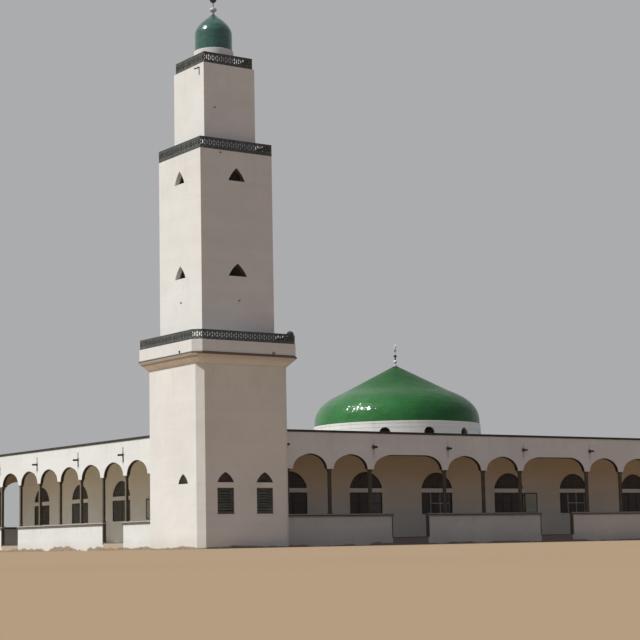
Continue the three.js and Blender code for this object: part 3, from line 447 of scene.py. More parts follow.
def dome_paint(name, base, deep, rough, ripple, scale, coat, darker_from):
    m = Mat(name, rough=rough, spec=0.12 if darker_from else 0.5)
    a = m.noise(0.8 * scale, 4, 0.55, stretch=(1, 1, 1.6))
    b = m.noise(3.6 * scale, 6, 0.62, stretch=(1, 1, 2.2))
    rows = m.noise(1.0, 3, 0.5, stretch=(0.35 * scale, 0.35 * scale, 3.2 * scale))
    c = m.mix(m.remap(a, 0.35, 0.66), base, deep)
    c = m.mix(m.remap(b, 0.52, 0.72, 0, 0.35), c, tuple(min(1, x * 1.35) for x in base))
    c = m.mix(m.remap(rows, 0.5, 0.64, 0, 0.30), c, deep)
    c = m.mix(m.remap(m.noise(1.0, 5, 0.62, stretch=(4 * scale, 4 * scale, 0.5 * scale)), 0.6, 0.8, 0, 0.18), c,
              tuple(x * 0.55 for x in deep))
    c = m.mix(m.remap(m.noise(7 * scale, 5, 0.6), 0.6, 0.8, 0, 0.16), c, (0.25, 0.27, 0.2))
    if darker_from:
        # the crown is darker, partly weathered paint and partly painted shade, and the side turned from the sun is
        # darker as painted shade
        c = m.mix(m.remap(m.z, darker_from[0], darker_from[1], 0, 0.50, smooth=True), c, tuple(x * 0.45 for x in deep))
        c = m.mix(m.remap(m.z, 10.96, 11.03, 0, 0.9), c, (0.030, 0.036, 0.034))
        shaded_side = m.f("SUBTRACT", m.x, m.f("MULTIPLY", m.y, 0.35))
        c = m.mix(m.remap(shaded_side, 12.5, 19.5, 0, 0.58, smooth=True), c, tuple(x * 0.45 for x in deep))
    m.color(c)
    m.rough(m.remap(b, 0.35, 0.65, rough * 0.75, rough * 1.5))
    m.b.inputs["Coat Weight"].default_value = coat
    m.b.inputs["Coat Roughness"].default_value = 0.085 if darker_from else 0.09
    m.bump(m.noise(1.3 * scale, 3, 0.5, stretch=(1, 1, 1.7)), ripple, 0.05)
    m.bump(m.noise(4.5 * scale, 3, 0.5), ripple * 0.6, 0.012)
    m.bump(m.noise(26 * scale, 4, 0.6), 0.12, 0.003)
    if darker_from:
        # brush strokes in the top coat only: they break the sun's glint into pieces
        last = m._n
        for height, strength, distance in ((m.noise(1.0, 2, 0.5, stretch=(2.6, 2.6, 2.4)), 0.9, 0.026),
                                           (m.noise(1.0, 2, 0.5, stretch=(5.6, 5.6, 4.6)), 0.9, 0.018)):
            n = m.t.nodes.new("ShaderNodeBump")
            n.inputs["Strength"].default_value = strength
            n.inputs["Distance"].default_value = distance
            m.put(n.inputs["Height"], height)
            m.put(n.inputs["Normal"], last)
            last = n.outputs[0]
        m.put(m.b.inputs["Coat Normal"], last)
        # the crown has weathered to a duller gloss
        m.put(m.b.inputs["Coat Weight"], m.f("MULTIPLY", m.remap(m.z, 9.0, 10.1, coat, coat * 0.12, smooth=True), m.remap(shaded_side, 12.5, 18.5, 1, 0.3, smooth=True)))
    return m.m


M_DOME = dome_paint("dome_green", (0.033, 0.177, 0.042), (0.025, 0.128, 0.033), 0.32, 0.45, 1.0, 0.85, (8.5, 10.5))
M_CUPOLA = dome_paint("cupola_green", (0.046, 0.130, 0.098), (0.028, 0.090, 0.070), 0.22, 0.18, 3.0, 0.6, None)


def screed(name, base, dark, scale=1.0):
    """Cement screed: cloudy, pitted, with dust lying on it."""
    m = Mat(name, rough=0.9, spec=0.25)
    a = m.noise(0.6 * scale, 5, 0.6)
    b = m.noise(4.0 * scale, 6, 0.65)
    c = m.mix(m.remap(a, 0.35, 0.65), base, dark)
    c = m.mix(m.remap(b, 0.5, 0.75, 0, 0.4), c, tuple(x * 0.7 for x in dark))
    c = m.mix(m.remap(m.noise(1.1 * scale, 4, 0.6), 0.55, 0.72, 0, 0.5), c, (0.46, 0.36, 0.25))
    jx = m.remap(m.f("PINGPONG", m.x, 1.5), 0.0, 0.012, 1, 0)
    jy = m.remap(m.f("PINGPONG", m.y, 1.5), 0.0, 0.012, 1, 0)
    joint = m.f("MAXIMUM", jx, jy, clamp=True)
    c = m.mix(m.f("MULTIPLY", joint, 0.6), c, tuple(x * 0.4 for x in dark))
    m.color(c)
    m.bump(joint, 0.4, -0.004)
    m.bump(b, 0.3, 0.006)
    m.bump(m.noise(50, 4, 0.6), 0.35, 0.002)
    return m.m


M_SCREED = screed("floor_screed", (0.42, 0.39, 0.34), (0.34, 0.31, 0.27))
M_ROOF = screed("roof_screed", (0.50, 0.48, 0.44), (0.40, 0.375, 0.335))


def glass(name, base, pale):
    m = Mat(name, rough=0.08, spec=0.2)
    a = m.noise(2.3, 5, 0.6)
    c = m.mix(m.remap(a, 0.4, 0.75), base, pale)
    c = m.mix(m.remap(m.noise(9, 5, 0.6), 0.55, 0.85, 0, 0.35), c, tuple(x * 1.4 for x in pale))
    m.color(c)
    m.rough(m.remap(m.noise(5, 5, 0.6), 0.35, 0.7, 0.06, 0.30))
    m.bump(m.noise(1.2, 2, 0.5), 0.12, 0.01)
    return m.m


# painted shade: the panes are opaque, and their dark brown stands for the shaded room seen through them; the west copy
# is lighter, as painted light
M_GLASS = glass("window_glass", (0.088, 0.067, 0.050), (0.108, 0.086, 0.065))
M_GLASS_W = glass("window_glass_side", (0.095, 0.089, 0.073), (0.140, 0.132, 0.110))
M_MURK = gloss_paint("murky_pane", (0.115, 0.110, 0.088), (0.17, 0.16, 0.12), rough=0.3, wear=0.4, dust=0.2)
M_LEAD = gloss_paint("window_bar_dark", (0.085, 0.078, 0.070), (0.13, 0.11, 0.09), rough=0.5, wear=0.3, dust=0.15)
M_DUSTY = gloss_paint("dusty_pane", (0.50, 0.52, 0.41), (0.52, 0.50, 0.42), rough=0.35, wear=0.4, dust=0.3)


# ------------------------------------------------------------------ mesh building
class Acc:
    """Gathers closed solids, in metres of the full-size building, for one piece."""

    def __init__(self):
        self.v, self.f, self.mi = [], [], []

    def solid(self, verts, faces, mi=0):
        k = len(self.v)
        self.v += verts
        self.f += [[k + i for i in f] for f in faces]
        self.mi += [mi] * len(faces) if isinstance(mi, int) else mi

    def box(self, fn, u0, u1, d0, d1, z0, z1, mi=0):
        vs = [fn(u, d, z) for z in (z0, z1) for d in (d0, d1) for u in (u0, u1)]
        self.solid(vs, [[0, 2, 3, 1], [4, 5, 7, 6], [0, 1, 5, 4], [2, 6, 7, 3], [0, 4, 6, 2], [1, 3, 7, 5]], mi)

    def prism(self, fn, outline, holes, d0, d1, mi=0, side=None):
        """A plate: an outline in (u, z) with holes, from depth d0 to d1."""
        loops = [outline, *holes]
        flat = [p for l in loops for p in l]
        tris = tessellate_polygon([[Vector((p[0], p[1], 0)) for p in l] for l in loops])
        n = len(flat)
        verts = [fn(u, d0, z) for u, z in flat] + [fn(u, d1, z) for u, z in flat]
        faces, mis = [], []
        for t in tris:
            faces.append(list(t))
            faces.append([n + i for i in reversed(t)])
            mis += [mi, mi]
        k = 0
        for l in loops:
            for i in range(len(l)):
                a, b = k + i, k + (i + 1) % len(l)
                faces.append([a, b, n + b, n + a])
                mis.append(mi if side is None else side)
            k += len(l)
        self.solid(verts, faces, mis)

    def lathe(self, profile, cx, cy, n, mi=0, closed_loop=True):
        """Round solid about a vertical axis. The profile is a closed loop of (r, z); points at r 0 become poles."""
        rings = []
        verts, faces = [], []
        for r, z in profile:
            if r < 1e-6:
                rings.append([len(verts)])
                verts.append((cx, cy, z))
            else:
                rings.append(list(range(len(verts), len(verts) + n)))
                for i in range(n):
                    t = 2 * math.pi * i / n
                    verts.append((cx + r * math.cos(t), cy + r * math.sin(t), z))
        m = len(rings)
        for k in range(m if closed_loop else m - 1):
            a, b = rings[k], rings[(k + 1) % m]
            if len(a) == 1 and len(b) == 1:
                continue
            for i in range(n):
                j = (i + 1) % n
                if len(a) == 1:
                    faces.append([a[0], b[j], b[i]])
                elif len(b) == 1:
                    faces.append([a[i], a[j], b[0]])
                else:
                    faces.append([a[i], a[j], b[j], b[i]])
        self.solid(verts, faces, mi)

    def make(self, name, mats, slot=None, smooth=None, bevel=None, rides="root", segments=2):
        me = bpy.data.meshes.new(name)
        me.from_pydata([W(*p) for p in self.v], [], self.f)
        for m in mats:
            me.materials.append(m)
        me.polygons.foreach_set("material_index", self.mi)
        bm = bmesh.new()
        bm.from_mesh(me)
        bmesh.ops.remove_doubles(bm, verts=bm.verts, dist=1e-6)
        bmesh.ops.recalc_face_normals(bm, faces=bm.faces)
        bm.to_mesh(me)
        bm.free()
        ob = bpy.data.objects.new(name, me)
        bpy.context.scene.collection.objects.link(ob)
        if bevel:
            b = ob.modifiers.new("edges", "BEVEL")
            b.width = bevel
            b.segments = segments
            b.limit_method = "ANGLE"
            b.angle_limit = math.radians(32)
        if smooth is not None:
            me.polygons.foreach_set("use_smooth", [True] * len(me.polygons))
            e = ob.modifiers.new("split", "EDGE_SPLIT")
            e.split_angle = math.radians(smooth)
        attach(ob, rides)
        return ob


def catmull(points, per):
    """A smooth line through the points, (r, z)."""
    out = []
    n = len(points)
    for i in range(n - 1):
        p0, p1, p2, p3 = points[max(0, i - 1)], points[i], points[i + 1], points[min(n - 1, i + 2)]
        for k in range(per):
            t = k / per
            out.append(tuple(
                0.5 * ((2 * p1[a]) + (-p0[a] + p2[a]) * t + (2 * p0[a] - 5 * p1[a] + 4 * p2[a] - p3[a]) * t * t
                       + (-p0[a] + 3 * p1[a] - 3 * p2[a] + p3[a]) * t ** 3) for a in (0, 1)))
    out.append(points[-1])
    return out


def shell(outer, t):
    """The inner line of a shell, at a constant thickness from its outer line."""
    inner = []
    for i, p in enumerate(outer):
        a, b = outer[max(0, i - 1)], outer[min(len(outer) - 1, i + 1)]
        dx, dz = b[0] - a[0], b[1] - a[1]
        L = math.hypot(dx, dz)
        r, z = p[0] - t * dz / L, p[1] + t * dx / L
        if i == 0:
            z = outer[0][1]
        inner.append((r, z))
    return [p for p in inner if p[0] > 0.03]


# ------------------------------------------------------------------ arcades: panels, reveals, columns
def arch_line(a, b, n=36):
    left, right = a + SPRING / 2, b - SPRING / 2
    rx, rz = min(1.04, (right - left) / 2), Z_APEX - Z_SPRING
    pts = []
    for i in range(n // 2 + 1):
        t = math.pi - (i / (n // 2)) * math.pi / 2
        pts.append((left + rx + rx * math.cos(t), Z_SPRING + rz * math.sin(t)))
    flat = (right - rx) - (left + rx) > 0.01
    for i in range(0 if flat else 1, n // 2 + 1):
        t = math.pi / 2 - (i / (n // 2)) * math.pi / 2
        pts.append((right - rx + rx * math.cos(t), Z_SPRING + rz * math.sin(t)))
    return pts


def arcade(side, start, end, columns, feet, paint, posts=(True, True)):
    """One side's wall over the gallery: parapet, arches and end piers, and the columns that carry it."""
    fn = SIDES[side]
    top = Z_PARAPET - 0.001
    first = start[2] if len(start) > 2 else start[1] + (SPRING - COL) / 2
    centres = [first - SPRING / 2, *columns, end[0] - (SPRING - COL) / 2 + SPRING / 2]
    # stations: (u, bottom on its left, bottom on its right, kind of underside to the right)
    st = [(start[0], None, feet, 0), (start[1], feet, Z_SPRING, 0), (first, Z_SPRING, Z_SPRING, 1)]
    for i in range(len(centres) - 1):
        arc = arch_line(centres[i], centres[i + 1])
        if i:
            st.append((arc[0][0], Z_SPRING, Z_SPRING, 1))
        for p in arc[1:-1]:
            st.append((p[0], p[1], p[1], 1))
        if i + 2 < len(centres):
            st.append((arc[-1][0], Z_SPRING, Z_SPRING, 2))
    st.append((end[0] - (SPRING - COL) / 2, Z_SPRING, Z_SPRING, 0))
    st.append((end[0], Z_SPRING, feet, 0))
    st.append((end[1], feet, None, 0))
    acc = Acc()
    verts, faces, mis = [], [], []
    index = {}

    def vert(u, d, z):
        key = (round(u, 5), round(d, 5), round(z, 5))
        if key not in index:
            index[key] = len(verts)
            verts.append(fn(*key))
        return index[key]

    mid = 4.70
    for i in range(len(st) - 1):
        u0, u1 = st[i][0], st[i + 1][0]
        b0, b1 = st[i][2], st[i + 1][1]
        # other heights on the two upright edges, so that the strips meet vertex to vertex
        l = sorted({b0, mid, top} | ({st[i][1]} if st[i][1] and st[i][1] > b0 else set()))
        r = sorted({b1, mid, top} | ({st[i + 1][2]} if st[i + 1][2] and st[i + 1][2] > b1 else set()))
        ll, rl = [z for z in l if z <= mid], [z for z in r if z <= mid]
        for d in (0.0, T_ARC):
            faces.append([vert(u0, d, z) for z in ll] + [vert(u1, d, z) for z in reversed(rl)])
            mis.append(0 if d == 0.0 else 2)
            faces.append([vert(u0, d, mid), vert(u0, d, top), vert(u1, d, top), vert(u1, d, mid)])
            mis.append(0 if d == 0.0 else 2)
        faces.append([vert(u0, 0, b0), vert(u1, 0, b1), vert(u1, T_ARC, b1), vert(u0, T_ARC, b0)])
        mis.append(1 if st[i][3] == 1 else 0)
        faces.append([vert(u0, 0, top), vert(u1, 0, top), vert(u1, T_ARC, top), vert(u0, T_ARC, top)])
        mis.append(0)
    for i, s in enumerate(st):
        lo, hi = s[1], s[2]
        if lo is None or hi is None:
            z0 = hi if lo is None else lo
            zs = [z0, mid, top]
            for a, b in zip(zs, zs[1:]):
                faces.append([vert(s[0], 0, a), vert(s[0], T_ARC, a), vert(s[0], T_ARC, b), vert(s[0], 0, b)])
                mis.append(0)
        elif abs(lo - hi) > 1e-6:
            a, b = min(lo, hi), max(lo, hi)
            faces.append([vert(s[0], 0, a), vert(s[0], T_ARC, a), vert(s[0], T_ARC, b), vert(s[0], 0, b)])
            mis.append(0)
    acc.solid(verts, faces, mis)
    panel = acc.make(f"{side}_arcade_wall", [paint, M_SOFFIT, M_HALL], "white_render", bevel=0.004)
    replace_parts(panel, f"{side}_arcade")
    # a dark painted line round each arch's crown and far haunch
    line = Acc()
    for i in range(len(centres) - 1):
        arc = arch_line(centres[i], centres[i + 1], 40)
        mid_u = (arc[0][0] + arc[-1][0]) / 2
        from_u = min(mid_u - 0.35, arc[0][0] + 0.75)
        under, over = [], []
        for j, (u, z) in enumerate(arc):
            if u < from_u:
                continue
            p, q = arc[max(0, j - 1)], arc[min(len(arc) - 1, j + 1)]
            dx, dz = q[0] - p[0], q[1] - p[1]
            L = math.hypot(dx, dz)
            w = 0.008 + 0.034 * min(1.0, (u - from_u) / 0.45)
            under.append((u, z))
            over.append((u - dz / L * w, z + dx / L * w))
        line.prism(fn, under + list(reversed(over)), [], -0.0045, -0.0005)
    line.make(f"{side}_arch_lines", [M_SOFFIT], "dark_green_coping")
    # columns: a slender square post with a plain cap plate and foot plate
    cols = Acc()
    h, t = COL / 2, T_ARC
    for c in columns:
        cols.box(fn, c - h + 0.012, c + h - 0.012, 0.012, t - 0.012, feet + 0.055, Z_SPRING - 0.075)
        cols.box(fn, c - h - 0.03, c + h + 0.03, -0.012, t + 0.012, Z_SPRING - 0.08, Z_SPRING - 0.001)
        cols.box(fn, c - h + 0.002, c + h - 0.002, 0.004, t - 0.004, Z_SPRING - 0.12, Z_SPRING - 0.078)
        cols.box(fn, c - h - 0.015, c + h + 0.015, 0.0, t + 0.008, feet + 0.001, feet + 0.06)
    # half posts where the arcade dies into its end piers
    for c, s in [q for q, there in zip(((start[1], 1), (end[0], -1)), posts) if there]:
        cols.box(fn, min(c, c + s * 0.10), max(c, c + s * 0.10), 0.012, t - 0.012, feet + 0.001, Z_SPRING - 0.075)
        cols.box(fn, min(c, c + s * 0.135), max(c, c + s * 0.135), -0.012, t + 0.012, Z_SPRING - 0.08, Z_SPRING - 0.001)
    ob = cols.make(f"{side}_arcade_columns", [M_COL], "dark_green_coping", bevel=0.004)
    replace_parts(ob, f"{side}_arcade")
    return panel


G = 0.0008
M_N = render_paint("paint_back", WHITE, WHITE2, [(5.54, 1.1)], streak=0.2)
Y_BUTT = YS + T_ARC + G
arcade("south", (TB + G, 3.27, 3.59), (44.94 - COL / 2, XE), S_COLS[:-1], Z_BAL_S + G, M_S)
arcade("north", (XW, 0.77), (44.94 - COL / 2, XE), [3.18, *S_COLS[:-1]], Z_BAL_S + G, M_N)
arcade("west", (TB + G, 2.76, 2.875), (30.60 - COL / 2, YN - T_ARC - G), W_COLS[:-1], Z_BAL_W + G, M_W, (False, True))
arcade("east", (Y_BUTT, 0.10), (30.60 - COL / 2, YN - T_ARC - G), [2.55, *W_COLS[:-1]], Z_BAL_W + G, M_N)


# ------------------------------------------------------------------ balustrade edges
def runs(a, b, gaps):
    out = []
    for g in gaps:
        out.append((a, g[0]))
        a = g[1]
    out.append((a, b))
    return out


front_gates, side_gates = FRONT_GATES, GATES_SIDE


def balustrade_trim(side, a, b, gaps, top):
    """The drip under the coping's outer edge, and the painted linings of the ways through."""
    fn = SIDES[side]
    drip, lining = Acc(), Acc()
    parts = runs(a, b, gaps)
    z0, z1 = Z_FLOOR + 0.001, top - H_CAP - 0.0005
    for i, (u0, u1) in enumerate(parts):
        e0 = CAP - 0.012 if i else 0.0
        e1 = CAP - 0.012 if i + 1 < len(parts) else 0.0
        drip.box(fn, u0 - e0, u1 + e1, -CAP + 0.004, -CAP + 0.014, z1 - 0.014, z1)
        if i:
            lining.box(fn, u0 - 0.014, u0 - 0.0005, -0.008, T_BAL + 0.008, z0, z1)
        if i + 1 < len(parts):
            lining.box(fn, u1 + 0.0005, u1 + 0.014, -0.008, T_BAL + 0.008, z0, z1)
    if side in ("west", "east"):
        # on the north side of these ways the post's paint goes on down over the wall's face
        for g0, g1 in gaps:
            lining.box(fn, g1 + 0.0005, g1 + 0.075, -0.010, -0.0005, 0.30, z1 - 0.001)
    else:
        for g0, g1 in gaps:
            lining.box(fn, g1 + 0.0005, g1 + 0.080, -0.010, -0.0005, Z_FLOOR - 0.02, z1 - 0.001)
            lining.box(fn, g0 - 0.045, g0 - 0.0005, -0.010, -0.0005, Z_FLOOR - 0.02, z1 - 0.001)
    drip.make(f"{side}_balustrade_drip", [M_EDGE], "dark_green_coping", bevel=0.002, segments=1)
    lining.make(f"{side}_gate_linings", [M_COL], "dark_green_coping", bevel=0.002, segments=1)


balustrade_trim("south", TB + 0.002, XE, front_gates, Z_BAL_S)
balustrade_trim("west", TB + 0.002, YN - 0.01, side_gates, Z_BAL_W)
balustrade_trim("north", XW, XE, front_gates, Z_BAL_S)
balustrade_trim("east", YS + 0.01, YN - 0.01, side_gates, Z_BAL_W)


# ------------------------------------------------------------------ hall windows
def head_line(c, half, z0, apex, n=24, inset=0.0):
    """The arched light over the band, from its right foot to its left foot, inset by a frame's width."""
    rise = WIN_APEX - WIN_BAND1
    R = (WIN_HALF ** 2 + rise ** 2) / (2 * rise)
    zc = WIN_APEX - R
    Ri = R - inset
    zb = WIN_BAND1 + inset
    t0 = math.asin((zb - zc) / Ri)
    return [(c + Ri * math.cos(t0 + (math.pi - 2 * t0) * i / n), zc + Ri * math.sin(t0 + (math.pi - 2 * t0) * i / n))
            for i in range(n + 1)]


def head_top(u, inset):
    rise = WIN_APEX - WIN_BAND1
    R = (WIN_HALF ** 2 + rise ** 2) / (2 * rise)
    zc = WIN_APEX - R
    return zc + math.sqrt(max(0.0, (R - inset) ** 2 - u * u))


def windows(side, centres, styles):
    """styles: sash = pale bars, plain = dark bars, murky = as plain with one paler leaf, grid = many thin dark bars."""
    fn = HALL[side]
    frames, bars, bands, sills, panes = Acc(), Acc(), Acc(), Acc(), Acc()
    thin = Acc()
    d0, d1 = 0.022, 0.085
    for k, c in enumerate(centres):
        h, fw = WIN_HALF - 0.001, 0.050
        z0, z1 = WIN_SILL + 0.001, WIN_BAND0 - 0.001
        # rectangular light: dark outer frame
        frames.prism(fn, [(c - h, z0), (c + h, z0), (c + h, z1), (c - h, z1)],
                     [[(c - h + fw, z0 + fw), (c - h + fw, z1 - fw), (c + h - fw, z1 - fw), (c + h - fw, z0 + fw)]], d0, d1)
        style = styles[k % len(styles)]
        ua, ub = c - h + fw + 0.0005, c + h - fw - 0.0005
        um = c - WIN_HALF + 2 * WIN_HALF * 0.605
        za, zb = z0 + fw + 0.0005, z1 - fw - 0.0005
        if style == "murky":
            panes.box(fn, ua, um - 0.0005, 0.052, 0.058, za, zb)
            panes.box(fn, um + 0.0005, ub, 0.052, 0.058, za, zb, 1)
        else:
            panes.box(fn, ua, ub, 0.052, 0.058, za, zb)
        e = 0.044
        zm = z0 + 0.50 * (z1 - z0)
        if style == "sash":
            # light-grey bars on two of the three leaves
            us = [c - WIN_HALF + 2 * WIN_HALF * q for q in (0.305, 0.605, 0.90)]
            for u in us:
                w = e if u < us[2] else 0.020
                bars.box(fn, u - w / 2, u + w / 2, d0 + 0.010, d1 - 0.010, z0 + fw, z1 - fw)
            for p, q in ((us[0], us[1]), (us[1], us[2])):
                bars.box(fn, p + e / 2, q - (e / 2 if q < us[2] else 0.010), d0 + 0.016, d1 - 0.016, zm - 0.020, zm + 0.020)
                for v in (0.36, 0.68):
                    ux = p + (q - p) * v
                    thin.box(fn, ux - 0.008, ux + 0.008, d0 + 0.018, d0 + 0.028, z0 + fw, z1 - fw)
            for v in (0.17, 0.33, 0.67, 0.83):
                zt = z0 + fw + v * (z1 - z0 - 2 * fw)
                thin.box(fn, us[0] + e / 2, us[2] - 0.010, d0 + 0.012, d0 + 0.017, zt - 0.007, zt + 0.007)
        elif style in ("plain", "murky"):
            for q in (0.305, 0.605):
                u = c - WIN_HALF + 2 * WIN_HALF * q
                frames.box(fn, u - 0.028, u + 0.028, d0 + 0.010, d1 - 0.010, z0 + fw, z1 - fw)
            frames.box(fn, c - h + fw, c + h - fw, d0 + 0.016, d1 - 0.016, zm - 0.014, zm + 0.014)
        else:
            frames.box(fn, c - 0.030, c + 0.030, d0 + 0.010, d1 - 0.010, z0 + fw, z1 - fw)
            for q in (0.14, 0.26, 0.38, 0.62, 0.74, 0.86):
                u = c - WIN_HALF + 2 * WIN_HALF * q
                thin.box(fn, u - 0.010, u + 0.010, d0 + 0.018, d0 + 0.028, z0 + fw, z1 - fw)
            for v in (0.25, 0.50, 0.75):
                zt = z0 + fw + v * (z1 - z0 - 2 * fw)
                thin.box(fn, c - h + fw, c + h - fw, d0 + 0.012, d0 + 0.017, zt - 0.009, zt + 0.009)
        # arched light: frame, rails and upright bars
        frames.prism(fn, head_line(c, h, 0, 0, 28, 0.002), [list(reversed(head_line(c, h, 0, 0, 28, fw)))], d0, d1)
        panes.prism(fn, head_line(c, h, 0, 0, 28, fw + 0.0005), [], 0.052, 0.058)
        n = 9
        for i in range(n):
            u = -0.84 + 1.68 * i / (n - 1)
            thin.box(fn, c + u - 0.010, c + u + 0.010, d0 + 0.012, d0 + 0.026, WIN_BAND1 + fw - 0.01, head_top(u, fw) + 0.01)
        for zr in (WIN_BAND1 + 0.24, WIN_BAND1 + 0.45):
            R = (WIN_HALF ** 2 + (WIN_APEX - WIN_BAND1) ** 2) / (2 * (WIN_APEX - WIN_BAND1)) - fw
            zc = WIN_APEX - (R + fw)
            w = math.sqrt(max(0, R * R - (zr - zc) ** 2))
            thin.box(fn, c - w - 0.01, c + w + 0.01, d0 + 0.005, d0 + 0.0115, zr - 0.010, zr + 0.010)
        # plain band between the two lights, slightly proud of the wall
        bands.box(fn, c - WIN_HALF - 0.045, c + WIN_HALF + 0.045, -0.018, 0.004, WIN_BAND0 + 0.012, WIN_BAND1 - 0.008)
        # sloping sill
        sills.solid([fn(u, d, z) for u in (c - WIN_HALF - 0.05, c + WIN_HALF + 0.05)
                     for d, z in ((-0.03, WIN_SILL - 0.07), (0.004, WIN_SILL - 0.07), (0.004, WIN_SILL - 0.008), (-0.03, WIN_SILL - 0.03))],
                    [[0, 1, 2, 3], [4, 7, 6, 5], [0, 4, 5, 1], [1, 5, 6, 2], [2, 6, 7, 3], [3, 7, 4, 0]])
    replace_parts(panes.make(f"{side}_window_panes", [M_GLASS_W if side == "west" else M_GLASS, M_MURK], "window_glass"), f"{side}_window_glass")
    thin.make(f"{side}_window_thin_bars", [M_LEAD], "window_glass")
    frames.make(f"{side}_window_frames", [M_FRAME], "window_glass", bevel=0.0015, segments=1)
    if bars.v:
        bars.make(f"{side}_window_sashes", [M_MUNTIN], "window_glass", bevel=0.0015, segments=1)
    bands.make(f"{side}_window_bands", [M_BAND_W if side == "west" else M_BAND], "white_render", bevel=0.003)
    sills.make(f"{side}_window_sills", [M_BAND_W if side == "west" else M_BAND], "white_render", bevel=0.002)


FRONT_STYLES = ("plain", "murky", "sash", "plain", "sash", "plain", "sash", "plain")
windows("south", S_WIN, FRONT_STYLES)
windows("north", S_WIN, FRONT_STYLES)
windows("west", W_WIN, ("grid",))
windows("east", W_WIN, ("grid",))

# door linings round the two open doorways
for side, at in (("north", (S_WIN[3] + S_WIN[4]) / 2), ("east", (W_WIN[1] + W_WIN[2]) / 2)):
    acc = Acc()
    h, z0, z1 = DOOR_HALF, Z_FLOOR + 0.002, DOOR_TOP
    acc.prism(HALL[side], [(at - h - 0.07, z0), (at - h - 0.07, z1 + 0.07), (at + h + 0.07, z1 + 0.07), (at + h + 0.07, z0),
                           (at + h - 0.05, z0), (at + h - 0.05, z1 - 0.05), (at - h + 0.05, z1 - 0.05), (at - h + 0.05, z0)],
              [], -0.02, -0.001)
    acc.prism(HALL[side], [(at - h + 0.001, z0), (at - h + 0.001, z1 - 0.001), (at + h - 0.001, z1 - 0.001), (at + h - 0.001, z0),
                           (at + h - 0.05, z0), (at + h - 0.05, z1 - 0.05), (at - h + 0.05, z1 - 0.05), (at - h + 0.05, z0)],
              [], -0.001, T_HALL)
    acc.make(f"{side}_door_lining", [M_FRAME], "window_glass", bevel=0.002)

# two open casement leaves, each lying back against the wall beside its window
def casement(name, side, u0, u1):
    z0, z1 = WIN_SILL + 0.02, WIN_BAND0 - 0.01
    leaf = Acc()
    leaf.prism(HALL[side], [(u0, z0), (u1, z0), (u1, z1), (u0, z1)],
               [[(u0 + 0.055, z0 + 0.06), (u0 + 0.055, z1 - 0.06), (u1 - 0.055, z1 - 0.06), (u1 - 0.055, z0 + 0.06)]], -0.075, -0.034)
    leaf.box(HALL[side], u0 + 0.050, u1 - 0.050, -0.058, -0.051, z0 + 0.055, z1 - 0.055, 1)
    leaf.box(HALL[side], u0 + 0.050, u1 - 0.050, -0.064, -0.045, (z0 + z1) / 2 - 0.014, (z0 + z1) / 2 + 0.014, 2)
    for z in (z0 + 0.15, z1 - 0.15):
        leaf.box(HALL[side], u0 - 0.03, u0 + 0.03, -0.036, -0.001, z - 0.03, z + 0.03)
    leaf.make(name, [M_FRAME, M_DUSTY, M_MUNTIN], "window_glass", bevel=0.0015, segments=1)


casement("south_open_casement", "south", S_WIN[3] + WIN_HALF + 0.03, S_WIN[3] + WIN_HALF + 0.95)
casement("west_open_casement", "west", W_WIN[1] + WIN_HALF + 0.03, W_WIN[1] + WIN_HALF + 1.08)


